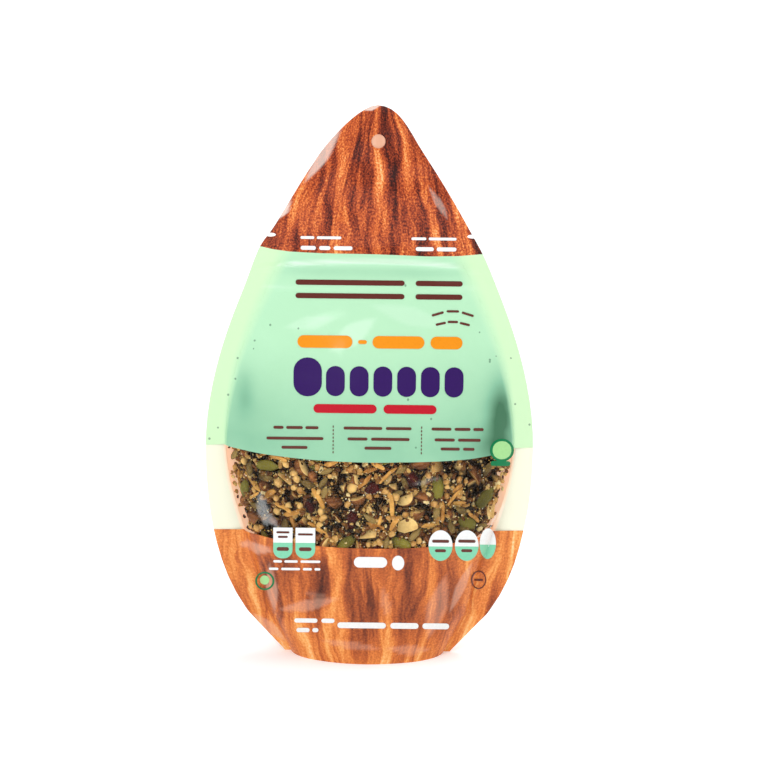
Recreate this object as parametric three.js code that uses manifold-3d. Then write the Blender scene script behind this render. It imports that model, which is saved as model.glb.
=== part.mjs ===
// A stand-up pouch of granola, die-cut to the outline of an almond, with a clear window across its front.
// The pouch is printed film, heat-sealed round a filled pocket. It has flat side seals, a zip, a flat header
// above that with tear notches and a hang mark, and a gusset that opens into its foot.
// Millimetres, +Z up. The origin is on the floor in the middle of the foot, and the window faces -Y.
import * as THREE from "three";
import { mergeVertices } from "three/addons/utils/BufferGeometryUtils.js";
import Module from "manifold-3d";

const wasm = await Module();
wasm.setup();

// Outline of the flat pouch: half widths at the heights where its edge changes
const HEIGHT = 280;
const FOOT_HALF_WIDTH = 42;
const GUSSET = { halfWidth: 62, height: 21.5 };
const WIDEST = { halfWidth: 82.6, height: 107 };
const SHOULDER = { halfWidth: 25.4, height: 256.5 };
const CROWN_OFFSET = 2.4;

// Film, seals and what is pressed into them
const SEAL_THICKNESS = 0.6;
const WEB_THICKNESS = 0.25;
const HANG_MARK = { x: 2.9, z: 262.3, radius: 3.5 };
const TEAR_NOTCH = { z: 215.4, depth: 3.3, height: 1.9 };
const ZIP = { bottom: 189.5, bead: 199.5, arch: 2.6, flange: 0.35, beadHeight: 0.9, beadWidth: 3.2 };

// Foot: the skirt of the base seal stands on the floor, and the gusset film arches up inside it
const SKIRT = 2.2;
const GUSSET_ARCH = 5;

// Window: heights of its printed edges at the side seals, and how far the bulge draws them down
const WINDOW = { bottom: 63, top: 107.4, bottomSag: 1.5, topSag: 3, sideInset: 1.6 };
const WINDOW_FILM = 0.4;
const FIT_GAP = 0.3;
const RECESS_DEPTH = 7.5;
const RECESS_SHARE = 0.95; // of half the pouch's depth, where it is too thin for the whole recess

// Granola behind the window
const CORE_DEPTH = 3;
const SEED = 20;

// Meshing
const POCKET_COLUMNS = 24;
const SEAL_COLUMNS = 2;
const WINDOW_COLUMNS = 24;
const WINDOW_ROWS = 6;

// ---- smooth values along the height ----

// A smooth curve through stations, each [height, value].
function along(stations) {
  const heights = stations.map(([z]) => z);
  const values = stations.map(([, value]) => value);
  const curve = new THREE.CubicInterpolant(heights, values, 1, new Float32Array(1));
  return (z) => curve.evaluate(THREE.MathUtils.clamp(z, heights[0], heights.at(-1)))[0];
}

const bell = (distance, width) => Math.exp(-((distance / width) ** 2));

// Width of the heat seal at each side: 10 mm, and wider where the gusset narrows the pocket.
const sealWidth = along([
  [0, 3.5],
  [20, 10.5],
  [48, 16.8],
  [76, 13.4],
  [104, 9.8],
  [150, 9.6],
  [200, 12],
  [HEIGHT, 3],
]);

// Half of the filled pocket's depth on its centre line, from the foot to the zip.
const pocketHalfDepth = along([
  [0, 23],
  [25, 25.2],
  [55, 26],
  [92, 25.2],
  [122, 22],
  [145, 16.5],
  [166, 9.6],
  [184, 4],
  [200, 1.1],
  [207, 0],
  [HEIGHT, 0],
]);

// How round the pocket is across: 0.5 is an ellipse, 1 a parabola that leaves its seals gently.
const roundness = along([
  [0, 0.5],
  [60, 0.6],
  [120, 0.75],
  [160, 1.05],
  [HEIGHT, 1.1],
]);

// ---- outline ----

// One edge of the pouch, from the foot to the crown. The crown leans to the right (+X).
function outlineEdge(side) {
  const x = (halfWidth) => side * halfWidth;
  const edge = new THREE.Path();
  edge.moveTo(x(FOOT_HALF_WIDTH), 0);
  edge.lineTo(x(GUSSET.halfWidth), GUSSET.height);
  edge.bezierCurveTo(x(73), 37, x(WIDEST.halfWidth), 63, x(WIDEST.halfWidth), WIDEST.height);
  edge.bezierCurveTo(x(WIDEST.halfWidth), 123, x(79.6), 176.7, x(SHOULDER.halfWidth), SHOULDER.height);
  if (side > 0) edge.bezierCurveTo(19, 265.5, 14, HEIGHT, CROWN_OFFSET, HEIGHT);
  else edge.bezierCurveTo(-19.4, 265, -6, HEIGHT, CROWN_OFFSET, HEIGHT);
  return edge.getPoints(30);
}

// The edge's x at any height, read off its points.
function edgeReader(points) {
  return (z) => {
    const i = Math.max(1, points.findIndex((p) => p.y >= z - 1e-9));
    const [a, b] = [points[i - 1], points[i]];
    return THREE.MathUtils.mapLinear(z, a.y, b.y, a.x, b.x);
  };
}

const leftEdge = edgeReader(outlineEdge(-1));
const rightEdge = edgeReader(outlineEdge(1));

// Half width of the pocket between the side seals.
const pocketHalfWidth = (z) => rightEdge(Math.min(z, SHOULDER.height)) - sealWidth(z);

// ---- front and back of the film ----

// Where the fill ends, the film is drawn in beside the side seals.
function shoulderDent(x, z) {
  return 3.2 * bell(Math.abs(x) - 54, 13) * bell(z - 146, 15);
}

// The zip strip inside: a flat flange and a round bead along its upper edge, arched by the pull of the fill.
// The side seals crush its ends nearly flat.
function zipRelief(x, z) {
  const half = pocketHalfWidth(ZIP.bead);
  const crushed = 1 - 0.9 * THREE.MathUtils.smoothstep(Math.abs(x), half - 2, half + 5);
  const arch = ZIP.arch * (1 - (x / half) ** 2);
  const flange = THREE.MathUtils.smoothstep(z, ZIP.bottom - 0.6, ZIP.bottom + 0.6);
  const end = 1 - THREE.MathUtils.smoothstep(z, ZIP.bead + arch + 1, ZIP.bead + arch + 3);
  const bead = ZIP.beadHeight * bell(z - ZIP.bead - arch, ZIP.beadWidth / 2);
  return crushed * (ZIP.flange * flange * end + bead);
}

// Half of the pouch's thickness at a point of its outline.
function halfDepth(x, z) {
  const across = Math.min(1, Math.abs(x) / pocketHalfWidth(z));
  const bulge = pocketHalfDepth(z) * (1 - across ** 2) ** roundness(z);
  const dent = Math.min(shoulderDent(x, z), bulge * 0.5);
  return SEAL_THICKNESS / 2 + bulge - dent + zipRelief(x, z);
}

// The middle of the film leans and ripples a little: the header tips back, its left shoulder curls,
// and the side seals wave.
function middle(x, z) {
  const header = THREE.MathUtils.smoothstep(z, 205, HEIGHT);
  const fromLeft = x - leftEdge(Math.min(z, SHOULDER.height));
  const curl = 2.2 * (1 - THREE.MathUtils.smoothstep(fromLeft, -4, 11)) * bell(z - 254, 18);
  const seal = THREE.MathUtils.smoothstep(Math.abs(x), pocketHalfWidth(z) - 2, pocketHalfWidth(z) + 8);
  const wave = z < SHOULDER.height ? seal * Math.sin(z / 17 + Math.sign(x)) * bell(z - 130, 90) : 0;
  return 3 * header ** 2 + curl + 0.9 * wave;
}

const frontY = (x, z) => middle(x, z) - halfDepth(x, z);
const backY = (x, z) => middle(x, z) + halfDepth(x, z);

// ---- solids ----

// A closed solid between two sheets, each a grid of points given by a function of (column, row).
function solidBetween(columns, rows, outer, inner) {
  const points = [];
  const index = [];
  const quad = (a, b, c, d) => index.push(a, b, c, a, c, d);
  const width = columns + 1;
  const sheet = width * (rows + 1);
  for (const place of [outer, inner]) {
    for (let i = 0; i < sheet; i++) {
      points.push(...place(i % width, Math.floor(i / width)).toArray());
    }
  }
  const at = (c, r, side) => side * sheet + r * width + c;
  for (let r = 0; r < rows; r++) {
    for (let c = 0; c < columns; c++) {
      quad(at(c, r, 0), at(c + 1, r, 0), at(c + 1, r + 1, 0), at(c, r + 1, 0));
      quad(at(c, r, 1), at(c, r + 1, 1), at(c + 1, r + 1, 1), at(c + 1, r, 1));
    }
  }
  for (let c = 0; c < columns; c++) {
    quad(at(c, 0, 0), at(c, 0, 1), at(c + 1, 0, 1), at(c + 1, 0, 0));
    quad(at(c, rows, 0), at(c + 1, rows, 0), at(c + 1, rows, 1), at(c, rows, 1));
  }
  for (let r = 0; r < rows; r++) {
    quad(at(0, r, 0), at(0, r + 1, 0), at(0, r + 1, 1), at(0, r, 1));
    quad(at(columns, r, 0), at(columns, r, 1), at(columns, r + 1, 1), at(columns, r + 1, 0));
  }
  const geometry = new THREE.BufferGeometry();
  geometry.setAttribute("position", new THREE.Float32BufferAttribute(points, 3));
  geometry.setIndex(index);
  return toSolid(geometry);
}

// A manifold-3d solid from a closed three.js geometry, turned the right way out.
function toSolid(geometry) {
  const bare = new THREE.BufferGeometry();
  bare.setAttribute("position", geometry.getAttribute("position").clone());
  bare.setIndex(geometry.index ? geometry.index.clone() : null);
  const merged = mergeVertices(bare, 1e-4);
  const corners = [];
  for (let i = 0; i < merged.index.count; i += 3) {
    const [a, b, c] = [0, 1, 2].map((k) => merged.index.getX(i + k));
    if (a !== b && b !== c && c !== a) corners.push(a, b, c);
  }
  const build = (triVerts) =>
    new wasm.Manifold(
      new wasm.Mesh({ numProp: 3, vertProperties: merged.attributes.position.array, triVerts }),
    );
  const solid = build(new Uint32Array(corners));
  return solid.volume() < 0 ? build(new Uint32Array(corners.reverse())) : solid;
}

function toGeometry(solid) {
  const mesh = solid.getMesh();
  const geometry = new THREE.BufferGeometry();
  geometry.setAttribute("position", new THREE.BufferAttribute(mesh.vertProperties, 3));
  geometry.setIndex(new THREE.BufferAttribute(mesh.triVerts, 1));
  const flat = geometry.toNonIndexed();
  flat.computeVertexNormals();
  return flat;
}

// Heights of the pouch's rows: closer at the foot, on the zip and round the crown.
function rowHeights() {
  const even = (from, to, steps) =>
    Array.from({ length: steps }, (_, i) => THREE.MathUtils.lerp(from, to, i / steps));
  const crown = Array.from({ length: 9 }, (_, i) => {
    const turn = (Math.PI / 2) * (i / 8);
    return THREE.MathUtils.lerp(SHOULDER.height, HEIGHT, Math.sin(turn));
  });
  return [
    ...even(0, GUSSET.height, 4),
    ...even(GUSSET.height, 140, 14),
    ...even(140, ZIP.bottom - 1, 7),
    ...even(ZIP.bottom - 1, ZIP.bead - 2, 4),
    ...even(ZIP.bead - 2, ZIP.bead + 6, 7),
    ...even(ZIP.bead + 6, SHOULDER.height, 6),
    ...crown,
  ];
}

// Even steps from -1 to 1, drawn closer towards both ends, where the pocket turns in steeply to its seals.
const closerAtEnds = (step) => Math.sin((step * Math.PI) / 2);

// x of a column at a height. The seals and the pocket each have their own columns, so the seal's inner edge
// is crisp.
function columnX(column, z) {
  const total = POCKET_COLUMNS + 2 * SEAL_COLUMNS;
  const [left, right] = [leftEdge(z), rightEdge(z)];
  const middleX = (left + right) / 2;
  const share = THREE.MathUtils.clamp(pocketHalfWidth(z) / rightEdge(z), 0.5, 0.97);
  const side = Math.sign(column - total / 2);
  const beyond = Math.abs(column - total / 2) - POCKET_COLUMNS / 2;
  const inPocket = share * closerAtEnds((column - total / 2) / (POCKET_COLUMNS / 2));
  const across = beyond <= 0 ? inPocket : side * (share + ((1 - share) * beyond) / SEAL_COLUMNS);
  return middleX + (across * (right - left)) / 2;
}

function filledPouch() {
  const heights = rowHeights();
  const columns = POCKET_COLUMNS + 2 * SEAL_COLUMNS;
  const sheet = (y) => (column, row) => {
    const z = heights[row];
    const x = columnX(column, z);
    return new THREE.Vector3(x, y(x, z), z);
  };
  return solidBetween(columns, heights.length - 1, sheet(frontY), sheet(backY));
}

// The hollow under the foot: the gusset film arches up from the skirt to a fold along X.
function gussetHollow() {
  const [columns, rows] = [20, 8];
  const halfLength = pocketHalfWidth(0) - 1.5 * SKIRT;
  const floorPoint = (column, row, top) => {
    const across = closerAtEnds((2 * column) / columns - 1);
    const through = (2 * row) / rows - 1;
    const x = across * halfLength;
    const halfWidth = (halfDepth(0, 0) - SKIRT) * Math.sqrt(1 - across ** 2);
    const z = top ? GUSSET_ARCH * (1 - Math.abs(through) ** 1.5) * (1 - across ** 4) : -1;
    return new THREE.Vector3(x, middle(x, 0) + through * halfWidth, z);
  };
  const roof = (column, row) => floorPoint(column, row, true);
  const floor = (column, row) => floorPoint(column, row, false);
  return solidBetween(columns, rows, roof, floor);
}

// The hang mark is punched through the front web only, so the back web shows in it.
function hangMark() {
  const mark = new THREE.CylinderGeometry(HANG_MARK.radius, HANG_MARK.radius, 10, 32);
  mark.translate(HANG_MARK.x, -5, HANG_MARK.z);
  const position = mark.getAttribute("position");
  for (let i = 0; i < position.count; i++) {
    const web = frontY(position.getX(i), position.getZ(i)) + WEB_THICKNESS;
    position.setY(i, position.getY(i) + web);
  }
  return toSolid(mark);
}

// A round-ended notch across one side seal, to start a tear above the zip.
function tearNotch(side) {
  const edge = side > 0 ? rightEdge(TEAR_NOTCH.z) : leftEdge(TEAR_NOTCH.z);
  const tip = new THREE.CylinderGeometry(TEAR_NOTCH.height / 2, TEAR_NOTCH.height / 2, 20, 16);
  tip.translate(edge - side * (TEAR_NOTCH.depth - TEAR_NOTCH.height / 2), 0, TEAR_NOTCH.z);
  const slot = new THREE.BoxGeometry(TEAR_NOTCH.depth + 2, 20, TEAR_NOTCH.height);
  slot.translate(edge - side * (TEAR_NOTCH.depth / 2 - 1 - TEAR_NOTCH.height / 4), 0, TEAR_NOTCH.z);
  return toSolid(tip).add(toSolid(slot));
}

// ---- window ----

// A point under the window, at a depth from its face: across runs from -1 to 1 and up from 0 to 1, between
// edges moved in by the inset.
function windowPoint(across, up, inset, depth) {
  const low = WINDOW.bottom - WINDOW.bottomSag * (1 - across ** 2) + inset;
  const high = WINDOW.top - WINDOW.topSag * (1 - across ** 2) - inset;
  const z = THREE.MathUtils.lerp(low, high, up);
  const x = across * (pocketHalfWidth(z) - WINDOW.sideInset - inset);
  return new THREE.Vector3(x, frontY(x, z) + depth(x, z), z);
}

function windowSlab(columns, rows, inset, outerDepth, innerDepth) {
  const across = (column) => closerAtEnds((2 * column) / columns - 1);
  const sheet = (depth) => (column, row) => windowPoint(across(column), row / rows, inset, depth);
  return solidBetween(columns, rows, sheet(outerDepth), sheet(innerDepth));
}

const recessDepth = (x, z) => Math.min(RECESS_DEPTH, RECESS_SHARE * halfDepth(x, z));
const granolaBack = (x, z) => recessDepth(x, z) - FIT_GAP;

const windowRecess = () => windowSlab(WINDOW_COLUMNS, WINDOW_ROWS, 0, () => -8, recessDepth);
const windowFilm = () => windowSlab(WINDOW_COLUMNS, WINDOW_ROWS, FIT_GAP, () => 0, () => WINDOW_FILM);

// ---- granola ----

THREE.MathUtils.seededRandom(SEED);
const random = () => THREE.MathUtils.seededRandom();
const between = (low, high) => THREE.MathUtils.lerp(low, high, random());

// A seed: a flattened spheroid, drawn to a point at one end.
function seedShape(point) {
  const shape = new THREE.SphereGeometry(0.5, 6, 3);
  shape.rotateZ(Math.PI / 2);
  const position = shape.getAttribute("position");
  for (let i = 0; i < position.count; i++) {
    const narrow = 1 - point * (position.getX(i) + 0.5);
    position.setXYZ(i, position.getX(i), position.getY(i) * narrow, position.getZ(i) * narrow);
  }
  return shape;
}

// A broken piece of nut or fruit: a 20-sided lump, each corner moved in or out.
function lumpShape(uneven) {
  const ball = new THREE.IcosahedronGeometry(0.5);
  ball.deleteAttribute("normal");
  ball.deleteAttribute("uv");
  const shape = mergeVertices(ball);
  const position = shape.getAttribute("position");
  for (let i = 0; i < position.count; i++) {
    const reach = between(1 - uneven, 1 + uneven);
    position.setXYZ(i, position.getX(i) * reach, position.getY(i) * reach, position.getZ(i) * reach);
  }
  return shape;
}

// Each kind of piece: how many show, its length, width and thickness, and its shape.
const KINDS = [
  { count: 9, size: [12.5, 8.5, 6], shape: () => lumpShape(0.16) }, // almond pieces
  { count: 6, size: [10.5, 7, 4.5], shape: () => lumpShape(0.22) }, // cranberries
  { count: 13, size: [12.5, 7.4, 2.8], shape: () => seedShape(0.45) }, // pumpkin seeds
  { count: 18, size: [9.5, 4.2, 2.4], shape: () => seedShape(0.6) }, // sunflower seeds
  { count: 28, size: [6, 4.8, 4], shape: () => lumpShape(0.2) }, // nut crumbs
];

// Places spread evenly over the window, each clear of the larger pieces placed before it.
function freePlace(taken, radius) {
  for (let tries = 0; tries < 60; tries++) {
    const across = between(-0.95, 0.95);
    const point = windowPoint(across, between(0.06, 0.94), 0, () => 0);
    const clear = taken.every((other) => other.point.distanceTo(point) > 0.8 * (other.radius + radius));
    if (clear) return point;
  }
  return null;
}

function granolaPieces() {
  const taken = [];
  const pieces = [];
  for (const kind of KINDS) {
    for (let n = 0; n < kind.count; n++) {
      const scale = between(0.85, 1.12);
      const [length, width, thickness] = kind.size.map((side) => side * scale);
      const radius = (length + width) / 4;
      const point = freePlace(taken, radius);
      if (!point) continue;
      taken.push({ point, radius });
      const piece = kind.shape();
      piece.scale(length, thickness, width);
      piece.rotateY(between(0, Math.PI));
      piece.rotateX(between(-0.3, 0.3));
      piece.rotateZ(between(-0.3, 0.3));
      piece.translate(point.x, point.y + CORE_DEPTH - 0.2 * thickness, point.z);
      pieces.push(toSolid(piece));
    }
  }
  return pieces;
}

// The packed mass of small seeds lies in low lumps. The larger pieces are fused on, pressed flat by the film.
function granola() {
  const lumpy = (x, z) => CORE_DEPTH + 0.45 * Math.sin(x * 0.9 + 2 * Math.sin(z * 0.6)) * Math.cos(z * 0.8);
  const underFilm = () => WINDOW_FILM + FIT_GAP + 0.1;
  const coreFace = (x, z) => Math.min(lumpy(x, z), granolaBack(x, z) - 0.8);
  const space = windowSlab(WINDOW_COLUMNS, WINDOW_ROWS, FIT_GAP, underFilm, granolaBack);
  const core = windowSlab(26, 8, -1, coreFace, (x, z) => granolaBack(x, z) + 1);
  return wasm.Manifold.union([core, ...granolaPieces()]).intersect(space);
}

// ---- the pouch ----

function part(name, solid, colour, roughness, more = {}) {
  const material = new THREE.MeshStandardMaterial({ color: colour, roughness, metalness: 0, ...more });
  const mesh = new THREE.Mesh(toGeometry(solid), material);
  mesh.name = name;
  return mesh;
}

// The largest body of a solid, without loose scraps.
function largest(solid) {
  return solid.decompose().sort((a, b) => b.volume() - a.volume())[0];
}

const cuts = [gussetHollow(), hangMark(), tearNotch(-1), tearNotch(1), windowRecess()];
const pouchSolid = cuts.reduce((solid, cut) => solid.subtract(cut), filledPouch());

const pouch = new THREE.Group();
pouch.add(part("pouch", largest(pouchSolid), 0xa9e3c4, 0.3));
pouch.add(part("window_film", windowFilm(), 0xf6f6f0, 0.1, { transparent: true, opacity: 0.2 }));
pouch.add(part("granola", largest(granola()), 0x7a5230, 0.75));

export default pouch;
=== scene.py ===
"""A sealed stand-up pouch of granola, die-cut to the outline of an almond: two printed webs of film,
heat-sealed round a filled pocket, with a clear window across the front, a zip, a flat header and a gusseted
foot."""

import math
import random

import bpy
import numpy as np
from mathutils import Euler, Matrix, Vector, noise
from mathutils.bvhtree import BVHTree


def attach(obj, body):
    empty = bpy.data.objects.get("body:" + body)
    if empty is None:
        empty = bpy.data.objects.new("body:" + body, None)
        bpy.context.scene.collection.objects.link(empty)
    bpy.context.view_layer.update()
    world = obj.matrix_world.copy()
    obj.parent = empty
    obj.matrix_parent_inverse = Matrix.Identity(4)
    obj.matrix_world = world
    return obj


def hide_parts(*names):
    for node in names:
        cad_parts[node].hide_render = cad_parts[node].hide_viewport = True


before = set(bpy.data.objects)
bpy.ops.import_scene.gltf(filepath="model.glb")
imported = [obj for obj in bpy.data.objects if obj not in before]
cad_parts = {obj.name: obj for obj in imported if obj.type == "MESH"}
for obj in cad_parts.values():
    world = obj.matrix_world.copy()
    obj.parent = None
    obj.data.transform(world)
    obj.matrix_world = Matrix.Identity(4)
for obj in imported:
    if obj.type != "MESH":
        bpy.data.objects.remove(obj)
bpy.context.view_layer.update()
bpy.ops.object.select_all(action="DESELECT")


# ---- Floor, light and camera ----
# A white sweep with a faint glow of its own, in a white room. A soft box stands high at the front left, and
# a wide soft light falls from above and behind on the right. The camera looks down a little and leans
# slightly.

CAMERA_AIM = Vector((0.007, 0, 0.140))
CAMERA_DISTANCE = 1.5
CAMERA_RISE = math.radians(13)
CAMERA_ROLL = math.radians(0.65)
FRAME_WIDTH_AT_AIM = 0.3855
SENSOR_WIDTH, SEEN_TO = 36, 30
FLOOR_SIZE = 12
FLOOR_FINISH = {
    "Base Color": (0.89, 0.93, 0.94, 1),
    "Roughness": 0.9,
    "Specular IOR Level": 0.1,
    "Emission Color": (1, 1, 1, 1),
    "Emission Strength": 0.22,
}
ROOM_LOW, ROOM_HIGH = 0.5, 0.95
SOFT_BOX_AT, SOFT_BOX_AIM = Vector((-0.55, -1.45, 1.2)), Vector((0, 0, 0.13))
SOFT_BOX_SIZE, SOFT_BOX_POWER = 0.55, 9
TOP_LIGHT_FROM, TOP_LIGHT, TOP_LIGHT_SPREAD = Vector((0.45, 0.3, 1)), 1.2, math.radians(50)


def finish(name, settings):
    """A new material; each even value is set on the shader's own socket."""
    paint = bpy.data.materials.new(name)
    paint.use_nodes = True
    for socket, value in settings.items():
        paint.node_tree.nodes["Principled BSDF"].inputs[socket].default_value = value
    return paint


bpy.ops.mesh.primitive_plane_add(size=FLOOR_SIZE)
floor = bpy.context.object
floor.name = "floor"
floor.data.materials.append(finish("white floor", FLOOR_FINISH))

bpy.ops.object.light_add(type="AREA", location=SOFT_BOX_AT)
soft_box = bpy.context.object
soft_box.name = "front left"
soft_box.data.shape = "RECTANGLE"
soft_box.data.size = SOFT_BOX_SIZE
soft_box.data.size_y = SOFT_BOX_SIZE
soft_box.data.energy = SOFT_BOX_POWER
soft_box.rotation_euler = (SOFT_BOX_AIM - SOFT_BOX_AT).to_track_quat("-Z", "Y").to_euler()
bpy.ops.object.light_add(type="SUN")
top_light = bpy.context.object
top_light.name = "top light"
top_light.data.energy = TOP_LIGHT
top_light.data.angle = TOP_LIGHT_SPREAD
top_light.rotation_euler = TOP_LIGHT_FROM.to_track_quat("Z", "Y").to_euler()

room = bpy.data.worlds.new("white room")
room.use_nodes = True
room_nodes = room.node_tree.nodes
direction = room_nodes.new("ShaderNodeTexCoord")
axes = room_nodes.new("ShaderNodeSeparateXYZ")
by_height = room_nodes.new("ShaderNodeMapRange")
by_height.inputs["To Min"].default_value = ROOM_LOW
by_height.inputs["To Max"].default_value = ROOM_HIGH
room.node_tree.links.new(direction.outputs["Generated"], axes.inputs[0])
room.node_tree.links.new(axes.outputs["Z"], by_height.inputs["Value"])
room.node_tree.links.new(by_height.outputs[0], room_nodes["Background"].inputs["Strength"])
room_nodes["Background"].inputs["Color"].default_value = (1, 1, 1, 1)
bpy.context.scene.world = room
bpy.context.scene.view_settings.view_transform = "Standard"

bpy.ops.object.camera_add()
camera = bpy.context.object
toward = Vector((0, math.cos(CAMERA_RISE), -math.sin(CAMERA_RISE)))
camera.location = CAMERA_AIM - toward * CAMERA_DISTANCE
level = toward.to_track_quat("-Z", "Y").to_matrix()
camera.rotation_euler = (level @ Matrix.Rotation(CAMERA_ROLL, 3, "Z")).to_euler()
camera.data.sensor_width = SENSOR_WIDTH
camera.data.lens = SENSOR_WIDTH * CAMERA_DISTANCE / FRAME_WIDTH_AT_AIM
camera.data.clip_end = SEEN_TO
bpy.context.scene.camera = camera
bpy.ops.object.select_all(action="DESELECT")


# ---- The two webs of film: their lay ----
# Laminated film, 0.28 mm thick. Both webs are cut to one outline and heat-sealed along it. Each is laid out
# as a grid, with rows along the print and columns along the seals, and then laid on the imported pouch,
# smoothed and creased.

FILM, SEAL_THICKNESS = 0.00028, 0.0006
WINDOW_BOTTOM, WINDOW_TOP, PRINT_LINE, SHOULDER, CROWN = 0.063, 0.1077, 0.2055, 0.2565, 0.28
BOTTOM_SAG, TOP_SAG = 0.0024, 0.0033
PRINT_LIFTS = [
    (WINDOW_BOTTOM, (-80, -66, -55, -30, 0, 30, 50, 65, 80), (0.1, 0.4, 1.3, 0.8, 0.9, 0.5, 1.0, 1.3, 1.4)),
    (WINDOW_TOP, (-80, -62, -30, 15, 30, 50, 66, 80), (0, 0.5, 1.0, 1.0, 0.5, -0.4, -0.5, 0)),
    (PRINT_LINE, (-55, -49, -41, -25, 3, 29, 43, 55), (4.0, 2.6, 1.5, 0.8, 0.6, -0.2, 0.1, 1.1)),
]
WIDEST = 0.0826
SEAL_HEIGHTS = (0, 0.02, 0.034, 0.048, 0.062, 0.076, 0.09, 0.104, 0.15, 0.2, 0.28)
SEAL_WIDTHS = (0.0035, 0.0105, 0.0146, 0.0168, 0.0155, 0.0134, 0.0112, 0.0098, 0.0096, 0.012, 0.006)
SEAL_COLUMNS, POCKET_COLUMNS = 9, 92
NOTCH_HEIGHT, NOTCH_REACH = 0.2154, 0.002
LOOK_FROM, INSIDE_RIM, EASING = 0.1, 0.997, 26

pouch_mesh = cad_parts["pouch"].data
corners = np.array([v.co[:] for v in pouch_mesh.vertices])
pouch_skin = BVHTree.FromPolygons(corners.tolist(), [tuple(p.vertices) for p in pouch_mesh.polygons])
edge_ends = np.array([corners[list(e.vertices)] for e in pouch_mesh.edges])


def outline_at(height):
    """The pouch's left and right edge at a height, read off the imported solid."""
    low, high = edge_ends[:, :, 2].min(1), edge_ends[:, :, 2].max(1)
    crossing = edge_ends[(low <= height) & (high > height)]
    share = (height - crossing[:, 0, 2]) / (crossing[:, 1, 2] - crossing[:, 0, 2])
    x = crossing[:, 0, 0] + share * (crossing[:, 1, 0] - crossing[:, 0, 0])
    return x.min(), x.max()


crown_steps = 1 - np.sin(np.linspace(0, 1.56, 60))
read_heights = np.concatenate([np.linspace(0.0002, SHOULDER, 260), CROWN - (CROWN - SHOULDER) * crown_steps])
read_heights = np.unique(read_heights[np.abs(read_heights - NOTCH_HEIGHT) > NOTCH_REACH])
outline = np.array([outline_at(h) for h in read_heights])


def left_edge(z):
    return np.interp(z, read_heights, outline[:, 0])


def right_edge(z):
    return np.interp(z, read_heights, outline[:, 1])


def pocket_half_width(z):
    half = (right_edge(z) - left_edge(z)) / 2
    return np.clip(half - np.interp(z, SEAL_HEIGHTS, SEAL_WIDTHS), 0.5 * half, 0.97 * half)


def even(low, high, count):
    return list(np.linspace(low, high, count, endpoint=False))


crown_rows = np.sin(np.linspace(0, math.pi / 2, 26))
row_heights = np.array(
    even(0, WINDOW_BOTTOM, 44)
    + even(WINDOW_BOTTOM, WINDOW_TOP, 30)
    + even(WINDOW_TOP, PRINT_LINE, 76)
    + even(PRINT_LINE, SHOULDER, 34)
    + list(SHOULDER + (CROWN - 0.00001 - SHOULDER) * crown_rows)
)
bottom_row = int(np.argmin(abs(row_heights - WINDOW_BOTTOM)))
top_row = int(np.argmin(abs(row_heights - WINDOW_TOP)))
print_row = int(np.argmin(abs(row_heights - PRINT_LINE)))
last_row = len(row_heights) - 1
columns = POCKET_COLUMNS + 2 * SEAL_COLUMNS
steps = np.arange(columns + 1) - columns / 2


def print_shift(x, z):
    """How far the print stands above its flat place. The bulge draws it down, and the lines between its
    fields wander by the table above, in millimetres."""
    sag = np.interp(z, (0.01, WINDOW_BOTTOM, WINDOW_TOP, 0.15), (0, BOTTOM_SAG, TOP_SAG, 0))
    shift = -sag * np.clip(1 - (x / pocket_half_width(z)) ** 2, 0, 1)
    for height, across, lifts in PRINT_LIFTS:
        shift = shift + np.interp(x * 1000, across, lifts) / 1000 * np.exp(-(((z - height) / 0.012) ** 2))
    return shift


def laid_out():
    """x and z of every grid point."""
    z = np.repeat(row_heights[:, None], columns + 1, 1)
    half = pocket_half_width(z)
    left, right = left_edge(z), right_edge(z)
    middle = (left + right) / 2
    in_pocket = np.abs(steps) <= POCKET_COLUMNS / 2
    turn = np.clip(steps / (POCKET_COLUMNS / 2), -1, 1) * math.pi / 2
    beyond = (np.abs(steps) - POCKET_COLUMNS / 2) / SEAL_COLUMNS
    rim = np.where(steps > 0, right - middle, middle - left)
    x = middle + np.where(in_pocket, half * np.sin(turn), np.sign(steps) * (half + (rim - half) * beyond))
    return x, z + print_shift(x, z)


def packed_depth(x, z, side):
    """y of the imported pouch's front (side -1) or back (side 1)."""
    y = np.zeros(x.shape)
    for place in np.ndindex(x.shape):
        height = min(max(z[place], 0.0004), CROWN - 0.0006)
        start = Vector((x[place] * INSIDE_RIM, side * LOOK_FROM, height))
        hit = pouch_skin.ray_cast(start, Vector((0, -side, 0)), 2 * LOOK_FROM)[0]
        y[place] = hit.y if hit else np.nan
    return y


def filled(y):
    """Fills points that the rays missed from the nearest point in the row."""
    for row in y:
        known = ~np.isnan(row)
        if known.any():
            row[~known] = np.interp(np.flatnonzero(~known), np.flatnonzero(known), row[known])
    for r in range(1, len(y)):
        if np.isnan(y[r]).any():
            y[r] = y[r - 1]
    return y


def eased(y, rounds):
    """Averages each point with its neighbours, which takes out the facets. The rim stays."""
    y = y.copy()
    for _ in range(rounds):
        around = (y[:-2, 1:-1] + y[2:, 1:-1] + y[1:-1, :-2] + y[1:-1, 2:]) / 4
        y[1:-1, 1:-1] = 0.5 * y[1:-1, 1:-1] + 0.5 * around
    return y


web_x, web_z = laid_out()
back_y = filled(packed_depth(web_x, web_z, 1))
front_y = filled(packed_depth(web_x, web_z, -1))
window_rows = slice(bottom_row - 2, top_row + 3)
pocket = slice(SEAL_COLUMNS + 1, columns - SEAL_COLUMNS)
front_y[window_rows, pocket] = -back_y[window_rows, pocket]
front_y, back_y = eased(front_y, EASING), eased(back_y, EASING)

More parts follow.
